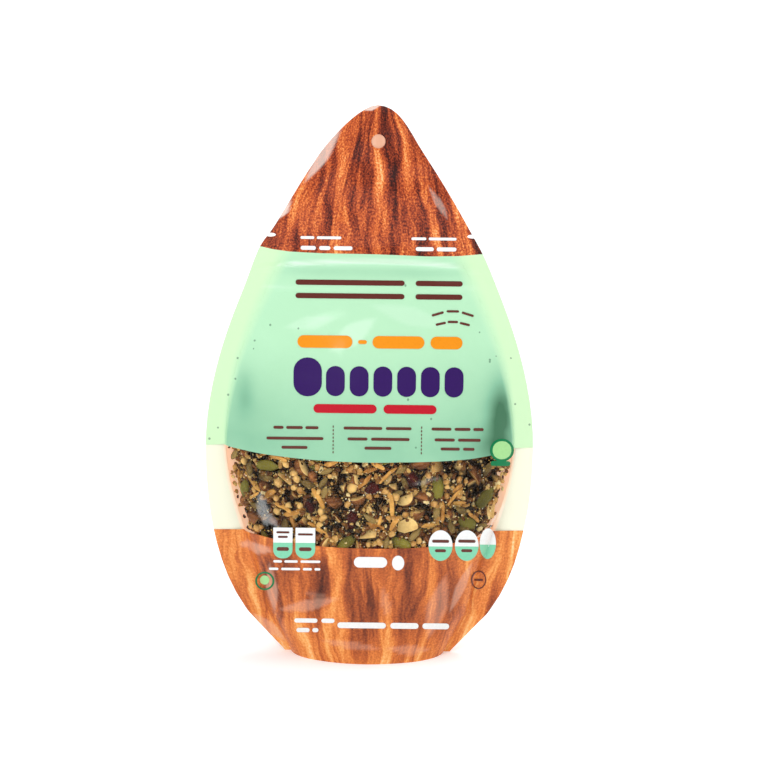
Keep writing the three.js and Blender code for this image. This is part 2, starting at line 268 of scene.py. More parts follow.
# Creases: x, z, direction in degrees from X, half length, half width and depth, in millimetres.
CREASES = [
    (-59, 126, 66, 18, 7, 1.6),
    (61, 124, 114, 18, 7, 1.9),
    (-46, 152, 40, 16, 5, 0.8),
    (45, 150, 140, 16, 5, 0.9),
    (-30, 178, 12, 26, 6, 0.5),
    (32, 176, 170, 26, 6, 0.5),
    (-59, 78, 70, 10, 2.4, 0.9),
    (62, 74, 60, 9, 1.6, 1.1),
    (67, 66, 20, 8, 1.4, 0.7),
    (-50, 50, 62, 14, 3, 0.9),
    (-34, 37, 25, 17, 2.6, 0.8),
    (-12, 30, 172, 14, 2.2, 0.6),
    (48, 44, 112, 16, 3.4, 0.9),
    (24, 30, 150, 20, 3, 0.6),
    (-26, 20, 150, 18, 3, 0.6),
    (-47, 19, 120, 9, 2.5, 0.9),
    (45, 18, 60, 9, 2.5, 0.9),
    (6, 14, 4, 26, 2.4, 0.4),
]


def along_and_across(x, z, middle_x, middle_z, turn):
    """How far points lie from the middle of a crease or painted glare, along it and across it, in
    millimetres.
    """
    dx, dz, angle = x * 1000 - middle_x, z * 1000 - middle_z, math.radians(turn)
    return dx * math.cos(angle) + dz * math.sin(angle), dz * math.cos(angle) - dx * math.sin(angle)


def creased(x, z):
    """How far the film is pressed in at each point, in metres."""
    depth = np.zeros(x.shape)
    for *mark, length, width, deep in CREASES:
        along, across = along_and_across(x, z, *mark)
        depth += deep / 1000 * np.exp(-((along / length) ** 2) - (across / width) ** 2)
    return depth


def cockled(x, z, pitch, seed):
    """The film's fine unevenness, from -1 to 1."""
    wave = np.zeros(x.shape)
    for place in np.ndindex(x.shape):
        wave[place] = noise.noise(Vector((x[place] / pitch, seed, z[place] / pitch)))
    return wave


ZIP_BEAD, ZIP_ARCH, ZIP_FLANGE = 0.1995, 0.0026, 0.1895
BEAD_RISE, BEAD_HALF_HEIGHT = 0.0011, 0.0011
FLANGE_RISE, FLANGE_HALF_HEIGHT = 0.00035, 0.0008
GUSSET_FOLD, FOLD_STEP = 0.0205, 0.0006
COCKLES = [(0.016, 3.1, 0.0004), (0.007, 8.7, 0.00012)]
RIPPLE_PITCH, RIPPLE_SEED, RIPPLE_RISE = 0.012, 5.5, 0.00045


def zip_relief(x, z):
    """The zip strip pressed through the film: a flange under a round bead, faint in the seals."""
    half = float(pocket_half_width(ZIP_BEAD))
    crushed = 1 - 0.7 * np.clip((np.abs(x) - half + 0.002) / 0.007, 0, 1)
    arch = ZIP_ARCH * (1 - (x / half) ** 2)
    bead = BEAD_RISE * np.exp(-(((z - ZIP_BEAD - arch) / BEAD_HALF_HEIGHT) ** 2))
    flange = FLANGE_RISE * np.exp(-(((z - ZIP_FLANGE) / FLANGE_HALF_HEIGHT) ** 2))
    return crushed * (bead + flange)


weld_y, gap = (front_y + back_y) / 2, np.maximum(back_y - front_y, SEAL_THICKNESS)
front_y, back_y = weld_y - gap / 2, weld_y + gap / 2
in_fill = np.clip((gap - 0.002) / 0.01, 0, 1)
fine = sum(cockled(web_x, web_z, pitch, seed) * rise for pitch, seed, rise in COCKLES)
front_y += in_fill * (creased(web_x, web_z) + fine) - zip_relief(web_x, web_z)
back_y -= in_fill * (creased(-web_x, web_z) + fine[:, ::-1]) - zip_relief(web_x, web_z)
ripple = (1 - in_fill) * cockled(web_x, web_z, RIPPLE_PITCH, RIPPLE_SEED) * RIPPLE_RISE
fold = (1 - in_fill) * FOLD_STEP * np.tanh((web_z - GUSSET_FOLD) / FOLD_STEP)
front_y += ripple + fold
back_y += ripple + fold
wide = columns + 1
grid_faces = [
    (r * wide + c, r * wide + c + 1, (r + 1) * wide + c + 1, (r + 1) * wide + c)
    for r in range(last_row)
    for c in range(columns)
]


def skin_of(y):
    """A web as a surface that a look can meet."""
    return BVHTree.FromPolygons(np.stack([web_x, y, web_z], 2).reshape(-1, 3).tolist(), grid_faces)


front_skin, back_skin = skin_of(front_y), skin_of(back_y)


# ---- Printed film: its finishes ----
# The film is printed on its back and laminated, so the colours lie under a glossy skin: a mint field, and a
# brown almond-skin pattern of long ridges above and below it. The side that faces the food is cream.


def add_node(paint, kind, inputs=None, **settings):
    """Adds a node. Each input is a plain value or another node's output."""
    made = paint.node_tree.nodes.new(kind)
    for name, value in settings.items():
        setattr(made, name, value)
    for name, value in (inputs or {}).items():
        if isinstance(value, bpy.types.NodeSocket):
            paint.node_tree.links.new(value, made.inputs[name])
        else:
            made.inputs[name].default_value = value
    return made


def calc(paint, operation, a, b=0.0, c=0.0, clamp=False):
    """A sum or comparison of values, each of them plain or a node's output."""
    inputs = {0: a, 1: b, 2: c}
    return add_node(paint, "ShaderNodeMath", inputs, operation=operation, use_clamp=clamp).outputs[0]


def mixed(paint, share, a, b):
    """Colour b over colour a. Each is linear red, green and blue, or a node's output."""
    a, b = ((*colour, 1) if isinstance(colour, tuple) else colour for colour in (a, b))
    return add_node(paint, "ShaderNodeMix", {0: share, 6: a, 7: b}, data_type="RGBA").outputs[2]


def ramp(paint, value, stops):
    """Stops are (place, colour), with the colour as linear red, green and blue."""
    node = add_node(paint, "ShaderNodeValToRGB", {0: value})
    line = node.color_ramp.elements
    while len(line) < len(stops):
        line.new(0.5)
    for stop, (place, colour) in zip(line, stops):
        stop.position = place
        stop.color = (*colour, 1)
    return node.outputs[0]


def stretched(paint, source, scale):
    return add_node(paint, "ShaderNodeMapping", {"Vector": source, "Scale": scale}).outputs[0]


def noise_at(paint, source, scale, detail=2.0, roughness=0.5):
    inputs = {"Vector": source, "Scale": scale, "Detail": detail, "Roughness": roughness}
    return add_node(paint, "ShaderNodeTexNoise", inputs).outputs[0]


def attribute(paint, name, output="Fac"):
    return add_node(paint, "ShaderNodeAttribute", attribute_name=name).outputs[output]


def connect(paint, output, socket):
    paint.node_tree.links.new(output, paint.node_tree.nodes["Principled BSDF"].inputs[socket])


def bumped(paint, height, strength, distance):
    bump = add_node(paint, "ShaderNodeBump", {"Height": height, "Strength": strength, "Distance": distance})
    connect(paint, bump.outputs[0], "Normal")


def height_in(paint, lay):
    """How high a point stands in the print."""
    return add_node(paint, "ShaderNodeSeparateXYZ", {0: lay}).outputs[1]


def film_grain(paint, lay):
    """The fine unevenness of the film's own surface."""
    bumped(paint, noise_at(paint, lay, 420, 3), 0.25, 0.0003)


FILM_GLOSS = {"Roughness": 0.45, "Specular IOR Level": 0.08, "Coat Weight": 0.28, "Coat Roughness": 0.13}
MINT, MINT_SEAL_BACKLIT, MINT_GLARE = (0.46, 0.765, 0.50), (0.60, 0.83, 0.51), (0.80, 0.97, 0.82)
MINT_OVER_FOOD_AND_SHADE, MINT_IN_SHADE = (0.235, 0.50, 0.325), (0.060, 0.175, 0.095)
DUST_COLOUR, DUST_SCALE, DUST_GRAIN, DUST_STRENGTH = (0.07, 0.16, 0.10), 260.0, 0.16, 0.62


def mint_print():
    """The mint field. It is deeper where food lies against it, with painted shade in the creases and along
    the zip, painted highlights where the film creases, painted light through the seals, and dust inside.
    """
    paint = finish("mint print", FILM_GLOSS)
    lay = attribute(paint, "print", "Vector")
    cloud = noise_at(paint, lay, 28, 3)
    cloud = calc(paint, "MULTIPLY_ADD", cloud, 1.1, 0.45)
    # Food behind the film darkens the mint; painted shade in the creases and along the zip darkens it
    # further.
    over_food_and_shade = calc(paint, "MULTIPLY", attribute(paint, "food"), cloud)
    shade = calc(paint, "SUBTRACT", over_food_and_shade, 1.0, clamp=True)
    over_food_and_shade = calc(paint, "MINIMUM", over_food_and_shade, 1.0)
    colour = mixed(paint, over_food_and_shade, MINT, MINT_OVER_FOOD_AND_SHADE)
    colour = mixed(paint, shade, colour, MINT_IN_SHADE)
    # Painted highlights along the zip and where the film creases.
    colour = mixed(paint, attribute(paint, "painted_glare"), colour, MINT_GLARE)
    # Painted light coming through the seals makes them paler.
    colour = mixed(paint, attribute(paint, "seal"), colour, MINT_SEAL_BACKLIT)
    speck = add_node(paint, "ShaderNodeTexVoronoi", {"Vector": lay, "Scale": DUST_SCALE})
    near = calc(paint, "LESS_THAN", speck.outputs["Distance"], DUST_GRAIN)
    draw = add_node(paint, "ShaderNodeSeparateColor", {0: speck.outputs["Color"]}).outputs[0]
    dusted = calc(paint, "MULTIPLY", near, calc(paint, "LESS_THAN", draw, attribute(paint, "dust")))
    colour = mixed(paint, calc(paint, "MULTIPLY", dusted, DUST_STRENGTH), colour, DUST_COLOUR)
    connect(paint, colour, "Base Color")
    film_grain(paint, lay)
    return paint


HEADER_SKIN = [
    (0.20, (0.028, 0.004, 0.003)),
    (0.35, (0.140, 0.018, 0.008)),
    (0.47, (0.325, 0.048, 0.015)),
    (0.58, (0.530, 0.095, 0.024)),
    (0.70, (0.770, 0.190, 0.042)),
    (0.84, (0.940, 0.400, 0.120)),
    (1.00, (0.980, 0.700, 0.420)),
]
LOWER_SKIN = [
    (0.18, (0.040, 0.008, 0.004)),
    (0.35, (0.165, 0.033, 0.012)),
    (0.47, (0.345, 0.074, 0.020)),
    (0.58, (0.545, 0.130, 0.030)),
    (0.70, (0.775, 0.235, 0.050)),
    (0.84, (0.940, 0.440, 0.130)),
    (1.00, (0.980, 0.700, 0.400)),
]


def brown_print(name, skin, glare, ridge_scale, contrast, speckle_share, seal_backlight, middle):
    """The almond-skin pattern: ridges that wander and fork, with fine dark lines and a speckle in them. It
    is painted brighter in the seals, as light coming through the film, and grows lighter towards the foot."""
    paint = finish(name, FILM_GLOSS)
    lay = attribute(paint, "print", "Vector")
    bent = noise_at(paint, stretched(paint, lay, (1, 0.7, 1)), 42, 3)
    sway = add_node(paint, "ShaderNodeCombineXYZ", {0: calc(paint, "MULTIPLY", bent, 0.017)}).outputs[0]
    drawn = add_node(paint, "ShaderNodeVectorMath", {0: lay, 1: sway}, operation="ADD").outputs[0]
    ridges = noise_at(paint, stretched(paint, drawn, (ridge_scale, ridge_scale * 0.12, 1)), 1, 4, 0.6)
    lines = noise_at(paint, stretched(paint, drawn, (420, 32, 1)), 1, 2)
    speckle = noise_at(paint, lay, 900, 2, 0.7)
    value = calc(paint, "MULTIPLY_ADD", ridges, contrast, middle - (contrast + 0.3 + speckle_share) / 2)
    value = calc(paint, "MULTIPLY_ADD", lines, 0.3, value)
    value = calc(paint, "MULTIPLY_ADD", speckle, speckle_share, value)
    # Painted light coming through the seals.
    value = calc(paint, "MULTIPLY_ADD", attribute(paint, "seal"), seal_backlight, value)
    foot = calc(paint, "MULTIPLY_ADD", height_in(paint, lay), -5.5, 0.14, clamp=True)
    value = calc(paint, "ADD", value, foot)
    # The print's grooves and ridges, with some painted light and shade on the fins and the pocket.
    value = calc(paint, "ADD", value, attribute(paint, "ridge_and_shade"))
    # Painted highlights where the film creases.
    colour = mixed(paint, attribute(paint, "painted_glare"), ramp(paint, value, skin), glare)
    connect(paint, colour, "Base Color")
    film_grain(paint, lay)
    return paint


WARM_DARK, WARM_LIGHT = (0.70, 0.34, 0.21), (0.82, 0.48, 0.34)
CREAM, THROUGH_LIGHT = (0.90, 0.90, 0.76), (0.62, 0.40, 0.27)


def inner_film():
    """The side that faces the food: cream in the seals, and warmed by the brown print behind it elsewhere.
    Its glow is the light that comes through the thin film from outside."""
    paint = finish("inner film", {"Roughness": 0.4, "Specular IOR Level": 0.15, "Emission Strength": 1})
    lay = attribute(paint, "print", "Vector")
    streaks = noise_at(paint, stretched(paint, lay, (220, 30, 1)), 1, 2)
    warm = mixed(paint, streaks, WARM_DARK, WARM_LIGHT)
    below_header = calc(paint, "LESS_THAN", height_in(paint, lay), PRINT_LINE)
    pale = calc(paint, "MULTIPLY", attribute(paint, "seal"), below_header)
    inside = calc(paint, "SUBTRACT", below_header, pale)
    connect(paint, mixed(paint, pale, warm, CREAM), "Base Color")
    connect(paint, mixed(paint, inside, (0, 0, 0), THROUGH_LIGHT), "Emission Color")
    film_grain(paint, lay)
    return paint


# The deepest grooves and the palest ridges of the brown print, with painted light on the right fin and
# painted shade on the left fin and the left of the pocket: x, z, lean, half width, half length, amount.
RIDGES_AND_SHADES = [
    (-5, 240, 2, 1.9, 26, -0.16),
    (11, 240, 8, 1.8, 26, -0.15),
    (28, 222, 12, 2.0, 13, -0.12),
    (-22, 230, -14, 1.6, 15, -0.10),
    (4, 232, 2, 3.2, 20, 0.07),
    (-14, 236, -8, 3.0, 20, 0.06),
    (32, 220, 14, 1.8, 14, 0.08),
    (-23.5, 44, 2, 4.2, 12, -0.24),
    (-51, 44, -8, 2.4, 9, -0.14),
    (-13, 32, 0, 3.6, 16, 0.06),
    (2, 26, -6, 2.2, 14, -0.10),
    (20.5, 36, 6, 2.4, 15, -0.16),
    (36, 22, 10, 2.0, 12, -0.08),
    # Painted light on the right fin, and painted shade on the left fin.
    (68, 40, -30, 6.5, 20, 0.13),
    (-66, 40, 30, 6.0, 16, -0.05),
    (-32, 226, -22, 6.0, 12, 0.15),
    # Painted shade on the left of the pocket.
    (-30, 40, 0, 8.5, 14, -0.17),
]
# Painted highlights, where the film creases and catches the light:
# x, z, direction, half length, half width, amount.
PAINTED_GLARES = [
    (-24.5, 255, 57, 17, 3.4, 0.62),
    (-43.5, 228, 57, 6, 2.6, 0.9),
    (-1, 279, 12, 5, 1.8, 0.85),
    (33, 232, 122, 10, 2.0, 0.3),
    (-9, 167, 35, 15, 6, 0.30),
    (20, 176, 165, 22, 5, 0.16),
    (-30, 172, 12, 14, 4, 0.18),
    (-57, 56, 4, 10, 3.5, 0.5),
    (-30, 30, 18, 17, 3.4, 0.34),
    (-24, 35, 165, 9, 2.6, 0.16),
    (-48.5, 36, 96, 14, 3.4, 0.46),
    (-50, 12, 141, 12, 3.2, 0.42),
    (47, 38, 66, 15, 3.0, 0.38),
    (35, 29, 76, 19, 6.0, 0.26),
    (21, 7, 172, 12, 3.2, 0.28),
    (9, 33, 98, 9, 2.5, 0.20),
    (-8, 10, 175, 16, 2.4, 0.24),
]
# Painted highlights on the clear window.
WINDOW_GLARES = [
    (-53, 78, 102, 10, 3.4, 0.62),
    (-50, 74, 138, 8, 2.4, 0.62),
    (64, 71, 62, 9, 1.8, 0.9),
    (30, 96, 12, 9, 1.2, 0.25),
]
# Painted shade on the mint, beyond the even darkening by the food behind it, in the creases beside the fill
# and along the zip: x, z, half width, half height, amount.
PAINTED_SHADES = [
    (66, 126, 7, 17, 1.6),
    (60, 112, 11, 9, 0.35),
    (-63, 136, 5, 11, 0.6),
    (0, 197, 60, 3.2, 0.42),
]
# The back web shares only the lower painted highlights, and the painted shade along the zip.
SHARED_GLARES, SHARED_PAINTED_SHADES = PAINTED_GLARES[6:], PAINTED_SHADES[-1:]
MINT_PRINT = mint_print()
HEADER_PRINT = brown_print(
    "brown header print",
    HEADER_SKIN,
    glare=(0.87, 0.67, 0.58),
    ridge_scale=104,
    contrast=1.6,
    speckle_share=0.95,
    seal_backlight=0.0,
    middle=0.51,
)
LOWER_PRINT = brown_print(
    "brown lower print",
    LOWER_SKIN,
    glare=(0.82, 0.46, 0.33),
    ridge_scale=82,
    contrast=1.55,
    speckle_share=0.40,
    seal_backlight=0.09,
    middle=0.55,
)
INNER_FILM = inner_film()


# ---- Front web, window and back web ----
# The front web is one sheet of laminated film with a band left clear, and the back web is printed all over.
# Two notches are nipped out of both above the zip, and a hang mark is punched through the front web alone.

HANG_MARK, HANG_RADIUS = (0.0029, 0.2623), 0.0035
NOTCH_DEPTH, NOTCH_HALF_HEIGHT = 0.0027, 0.0010
PUNCH_HALF_LENGTH = 0.02
SMOOTH_BELOW = math.radians(40)
DUST, DUST_AT_SEALS, DUST_REACH = 0.035, 0.30, 0.007
BEAD_GLINT, FLANGE_GLINT = 0.7, 0.3


def seen_from(skin, x, z, side):
    """Where a straight look from the front (side -1) or back (side 1) meets a web, and how that faces."""
    return skin.ray_cast(Vector((x, side * LOOK_FROM, z)), Vector((0, -side, 0)))


def web_sheet(name, y):
    """A grid primitive whose points are laid out as one web, with its print zones as materials."""
    bpy.ops.mesh.primitive_grid_add(x_subdivisions=columns, y_subdivisions=last_row, size=2)
    sheet = bpy.context.object
    sheet.name = name
    sheet.data.vertices.foreach_set("co", np.stack([web_x, y, web_z], 2).ravel())
    for paint in (LOWER_PRINT, MINT_PRINT, HEADER_PRINT, INNER_FILM):
        sheet.data.materials.append(paint)
    for polygon in sheet.data.polygons:
        row = polygon.vertices[0] // wide
        polygon.material_index = 0 if row < bottom_row else 1 if row < print_row else 2
    return sheet


def only(piece):
    bpy.ops.object.select_all(action="DESELECT")
    piece.select_set(True)
    bpy.context.view_layer.objects.active = piece


def opened(piece):
    """Opens a piece in edit mode, with all of it selected."""
    only(piece)
    bpy.ops.object.mode_set(mode="EDIT")
    bpy.ops.mesh.select_all(action="SELECT")


def closed():
    bpy.ops.object.mode_set(mode="OBJECT")


def picked(piece, kind, test):
    """Opens a piece in edit mode, with only those points or faces selected that pass the test."""
    opened(piece)
    bpy.ops.mesh.select_mode(type=kind)
    bpy.ops.mesh.select_all(action="DESELECT")
    closed()
    for part in piece.data.polygons if kind == "FACE" else piece.data.vertices:
        part.select = test(part)
    bpy.ops.object.mode_set(mode="EDIT")


def turned_over(piece):
    """Makes all its faces point the other way."""
    opened(piece)
    bpy.ops.mesh.flip_normals()
    closed()


def modified(piece, kind, **settings):
    """Adds a modifier and applies it."""
    only(piece)
    modifier = piece.modifiers.new(kind.lower(), kind)
    for name, value in settings.items():
        setattr(modifier, name, value)
    bpy.ops.object.modifier_apply(modifier=modifier.name)


def cut_out(piece, x, z, half_width, half_height):
    """Nips an upright oval out of a web."""
    bpy.ops.mesh.primitive_cylinder_add(vertices=32, radius=1, depth=2, rotation=(math.pi / 2, 0, 0))
    punch = bpy.context.object
    bpy.ops.object.transform_apply(rotation=True)
    punch.scale = (half_width, PUNCH_HALF_LENGTH, half_height)
    punch.location = (x, 0, z)
    bpy.ops.object.transform_apply(location=True, scale=True)
    modified(piece, "BOOLEAN", operation="DIFFERENCE", object=punch, solver="MANIFOLD")
    bpy.data.objects.remove(punch)


def kept(mesh, name, values, kind="FLOAT", domain="POINT"):
    """Keeps a number or a vector for each point or face, for the material to read."""
    layer = mesh.attributes.new(name, kind, domain)
    layer.data.foreach_set("vector" if kind == "FLOAT_VECTOR" else "value", np.ravel(values))


def print_layout(piece, glares, painted_shades):
    """Writes on the finished mesh where each point lies in the print, and how the film is backed there."""
    points = np.array([v.co[:] for v in piece.data.vertices])
    x, z = points[:, 0], points[:, 2]
    height = z - print_shift(x, z)
    half = pocket_half_width(z)
    spread = x * (WIDEST / np.maximum((right_edge(z) - left_edge(z)) / 2, 0.012)) ** 0.42
    softness = np.interp(height, (0.06, 0.11, 0.19), (0.0014, 0.002, 0.009))
    seal = np.clip((np.abs(x) - half) / softness + 0.5, 0, 1)
    # Darker mint where food lies behind the film, plus the painted shade from the table.
    food = np.clip((0.165 - height) / 0.05, 0, 1) ** 1.3 * 0.80
    for middle_x, middle_z, reach_x, reach_z, amount in painted_shades:
        across, up = (x * 1000 - middle_x) / reach_x, (height * 1000 - middle_z) / reach_z
        food = food + amount * np.exp(-(across**2) - up**2)
    food = food * (1 - seal)
    near_seal = np.exp(-(((half - np.abs(x)) / DUST_REACH) ** 2))
    dust = DUST + DUST_AT_SEALS * near_seal * np.clip((0.19 - height) / 0.02, 0, 1)
    # Painted highlights: a glint along the zip's bead and flange, and glare where the film creases.
    half_zip = float(pocket_half_width(ZIP_BEAD))
    arch = ZIP_BEAD + 0.0006 + ZIP_ARCH * (1 - (x / half_zip) ** 2)
    on_bead = np.exp(-(((z - arch) / BEAD_HALF_HEIGHT) ** 2))
    painted_glare = BEAD_GLINT * on_bead * np.clip((half_zip - np.abs(x)) / 0.008, 0, 1)
    on_flange = np.exp(-(((z - ZIP_FLANGE) / 0.0007) ** 2))
    painted_glare += FLANGE_GLINT * on_flange * np.clip((np.abs(x) - 0.03) / 0.02, 0, 1)
    for *mark, length, width, amount in glares:
        along, across = along_and_across(x, z, *mark)
        edge = 1 - np.abs(along / length) ** 1.3 - np.abs(across / width) ** 1.3
        painted_glare = np.maximum(painted_glare, amount * np.clip(edge / 0.3, 0, 1))
    # The print's grooves and ridges, and painted light and shade on the fins and the pocket.
    ridge_and_shade = np.zeros(len(x))
    for middle_x, middle_z, lean, width, length, amount in RIDGES_AND_SHADES:
        dx, dz = x * 1000 - middle_x, z * 1000 - middle_z
        sway = dx - dz * math.tan(math.radians(lean)) * 0.5 - 1.3 * np.sin(dz / 5.5 + middle_x)
        ridge_and_shade = ridge_and_shade + amount * np.exp(-((sway / width) ** 2) - (dz / length) ** 4)
    layers = {"seal": seal, "food": food, "dust": dust, "painted_glare": painted_glare, "ridge_and_shade": ridge_and_shade}
    for name, values in layers.items():
        kept(piece.data, name, values)
    kept(piece.data, "print", np.stack([spread, height, np.zeros(len(x))], 1), "FLOAT_VECTOR")


def finished_web(piece, stands_for, glares=(), painted_shades=()):
    """Smooths a web, lays out its print, hangs it on the root and hides the imported part it stands for."""
    only(piece)
    bpy.ops.object.shade_smooth_by_angle(angle=SMOOTH_BELOW)
    print_layout(piece, glares, painted_shades)
    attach(piece, "root")
    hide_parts(stands_for)


front = web_sheet("front_film", front_y)
picked(front, "FACE", lambda face: bottom_row <= face.vertices[0] // wide < top_row)
bpy.ops.mesh.separate(type="SELECTED")
closed()
window = [piece for piece in bpy.context.selected_objects if piece is not front][0]
window.name = "clear_window"
back = web_sheet("back_film", back_y)
turned_over(back)
for web in (front, back):
    modified(web, "SOLIDIFY", thickness=FILM, offset=-1, material_offset=3)
    for edge in (left_edge(NOTCH_HEIGHT), right_edge(NOTCH_HEIGHT)):
        cut_out(web, edge, NOTCH_HEIGHT, NOTCH_DEPTH, NOTCH_HALF_HEIGHT)
cut_out(front, *HANG_MARK, HANG_RADIUS, HANG_RADIUS)
finished_web(front, "pouch", PAINTED_GLARES, PAINTED_SHADES)
finished_web(back, "pouch", SHARED_GLARES, SHARED_PAINTED_SHADES)

modified(window, "SOLIDIFY", thickness=FILM, offset=-1)
clear = finish("clear film", {})
clear.node_tree.nodes.remove(clear.node_tree.nodes["Principled BSDF"])
see_through = add_node(clear, "ShaderNodeBsdfTransparent", {"Color": (1, 0.997, 0.985, 1)})
gloss = add_node(clear, "ShaderNodeBsdfGlossy", {"Color": (1, 1, 1, 1), "Roughness": 0.07})
slant = add_node(clear, "ShaderNodeLayerWeight", {"Blend": 0.5}).outputs["Facing"]
sheen = calc(clear, "MULTIPLY_ADD", calc(clear, "POWER", slant, 5.0), 0.25, 0.004)
# The painted glare adds a painted reflection to the window's gloss.
sheen = calc(clear, "MULTIPLY_ADD", attribute(clear, "painted_glare"), 0.16, sheen)
film = add_node(clear, "ShaderNodeMixShader", {0: sheen, 1: see_through.outputs[0], 2: gloss.outputs[0]})
clear.node_tree.links.new(film.outputs[0], clear.node_tree.nodes["Material Output"].inputs["Surface"])
window.data.materials.clear()
window.data.materials.append(clear)
finished_web(window, "window_film", WINDOW_GLARES)


# ---- Gusset ----
# A third strip of the printed film, folded up inside the foot and sealed to both webs just above the floor.
# It arches between them, so the pouch stands on the oval edge around it.

GUSSET_HEIGHT, GUSSET_ARCH, GUSSET_RUCK = 0.0022, 0.0052, 0.0006
GUSSET_COLUMNS, GUSSET_ROWS = 60, 16

rows_up = GUSSET_HEIGHT / (row_heights[1] - row_heights[0])
low_row, share = int(rows_up), rows_up % 1


def at_gusset(grid):
    """A row of a web's measures, at the height of the gusset's edge."""
    return grid[low_row] * (1 - share) + grid[low_row + 1] * share


rim_x, rim_front, rim_back = at_gusset(web_x), at_gusset(front_y) + FILM, at_gusset(back_y) - FILM
bpy.ops.mesh.primitive_grid_add(x_subdivisions=GUSSET_COLUMNS, y_subdivisions=GUSSET_ROWS, size=2)
gusset = bpy.context.object
gusset.name = "gusset"
reach = float(pocket_half_width(GUSSET_HEIGHT))
for vertex in gusset.data.vertices:
    across, through = math.sin(vertex.co.x * math.pi / 2), (vertex.co.y + 1) / 2
    x = across * reach
    near, far = np.interp(x, rim_x, rim_front), np.interp(x, rim_x, rim_back)
    arch = GUSSET_ARCH * math.sin(math.pi * through) ** 0.8 * (1 - across**2) ** 0.5
    ruck = GUSSET_RUCK * noise.noise(Vector((x * 60, through * 3, 4)))
    vertex.co = (x, near + (far - near) * through, GUSSET_HEIGHT + arch + ruck * math.sin(math.pi * through))
turned_over(gusset)
gusset.data.materials.append(LOWER_PRINT)
gusset.data.materials.append(INNER_FILM)
modified(gusset, "SOLIDIFY", thickness=FILM, offset=-1, material_offset=1)
finished_web(gusset, "pouch")


# ---- Granola: the bed of chia and fine crumbs ----
# Dark fines fill the pouch between the larger pieces. They thin out a little before the side seals and run
# on behind the printed film above and below the window.

BED_LOW, BED_HIGH, BED_CUTS = 0.046, 0.122, 88
BED_INSET, BED_MARGIN, BED_BACK_GAP, BED_CLEAR = 0.0026, 0.0076, 0.0035, 0.0008
BED_RAGGED, BED_GRAIN = 0.0045, 0.0006
HEAP_MARGIN = 0.0022
# The fines are kept very dark: their own colour, and painted shade in the gaps between the pieces.
FINES_AND_GAP_SHADE = [
    (0.0, (0.004, 0.002, 0.001)),
    (0.50, (0.012, 0.006, 0.003)),
    (0.76, (0.045, 0.019, 0.007)),
    (0.92, (0.140, 0.065, 0.020)),
    (1.0, (0.300, 0.170, 0.060)),
]


def heap_front(x, z, margin=HEAP_MARGIN):
    """A point on the heap's front, against the film, and the way it faces. Near the side seals the heap
    thins out before the film does."""
    half = float(pocket_half_width(z))
    place, facing, _, _ = seen_from(front_skin, x * half / (half - margin), z, -1)
    if place is None:
        return None, None
    facing = facing if facing.y < 0 else -facing
    return Vector((x, place.y + FILM, z)), facing


bpy.ops.mesh.primitive_cube_add(size=2)
bed = bpy.context.object
bed.name = "seed_bed"
opened(bed)
bpy.ops.mesh.subdivide(number_cuts=BED_CUTS)
closed()
for vertex in bed.data.vertices:
    across, through, up = vertex.co
    z = (BED_LOW + BED_HIGH) / 2 + up * (BED_HIGH - BED_LOW) / 2
    half = float(pocket_half_width(z))
    ragged = BED_MARGIN + BED_RAGGED * noise.noise(Vector((math.copysign(3, across), 0, z * 150)))
    x = math.sin(across * math.pi / 2 * 0.985) * (half - ragged)
    place, facing = heap_front(x, z, BED_MARGIN)
    grain = noise.noise(Vector((x, 0, z)) * 420) + 0.6 * noise.noise(Vector((x, 1, z)) * 900)
    near = place.y + BED_INSET / max(0.35, -facing.y) - BED_GRAIN * grain
    far = seen_from(back_skin, x * half / (half - BED_MARGIN), z, 1)[0].y - BED_BACK_GAP
    far = min(max(far, near + BED_CLEAR), seen_from(back_skin, x, z, 1)[0].y - BED_CLEAR)
    near = min(near, far - BED_CLEAR / 2)
    vertex.co = (x, near + (far - near) * (through + 1) / 2, z)
only(bed)
bpy.ops.object.shade_smooth()
bed_paint = finish("dark fines", {"Roughness": 0.6, "Specular IOR Level": 0.04})
place = add_node(bed_paint, "ShaderNodeTexCoord").outputs["Object"]
cell = add_node(bed_paint, "ShaderNodeTexVoronoi", {"Vector": place, "Scale": 850.0})
cell_tone = add_node(bed_paint, "ShaderNodeSeparateColor", {0: cell.outputs["Color"]}).outputs[0]
connect(bed_paint, ramp(bed_paint, cell_tone, FINES_AND_GAP_SHADE), "Base Color")
bumped(bed_paint, cell.outputs["Distance"], 0.9, -0.0006)
bed.data.materials.append(bed_paint)
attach(bed, "root")
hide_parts("granola")


# ---- Granola: how its pieces are modelled and strewn ----
# Each kind is modelled a few times and copied. The largest pieces come first and lie against the film, and
# the smaller ones fill the gaps or lie a little deeper. All draws are seeded.

CLEAR_OF_FILM, FILM_CURVE = 0.00012, 3.2
STREWN_LOW, STREWN_HIGH, TRIES = 0.055, 0.109, 160
FRONT_SHARE, DEEPER = 0.62, (0.0009, 0.0017)
AT_THE_ENDS, ENDS_REACH = 0.13, 0.006
# Pieces that lie deeper behind the film are darkened towards IN_SHADE as painted shade.
SHADE_EASES = 0.014
IN_SHADE = (0.012, 0.005, 0.002)
chance = random.Random(20)
taken = []


def ball(segments, rings, half_size):
    """A ball with its poles at the two ends of its length, drawn out to a size."""
    bpy.ops.mesh.primitive_uv_sphere_add(segments=segments, ring_count=rings, rotation=(0, math.pi / 2, 0))
    piece = bpy.context.object
    bpy.ops.object.transform_apply(rotation=True)
    piece.scale = half_size
    bpy.ops.object.transform_apply(scale=True)
    return piece


def narrowed(piece, end, share, reach):
    """Draws one end in, with the points around it following."""
    picked(piece, "VERT", lambda point: point.co.x * math.copysign(1, end) > abs(end) * 0.97)
    bpy.ops.transform.resize(
        value=(1, share, share),
        center_override=(end, 0, 0),
        use_proportional_edit=True,
        proportional_edit_falloff="SMOOTH",
        proportional_size=reach,
    )
    closed()


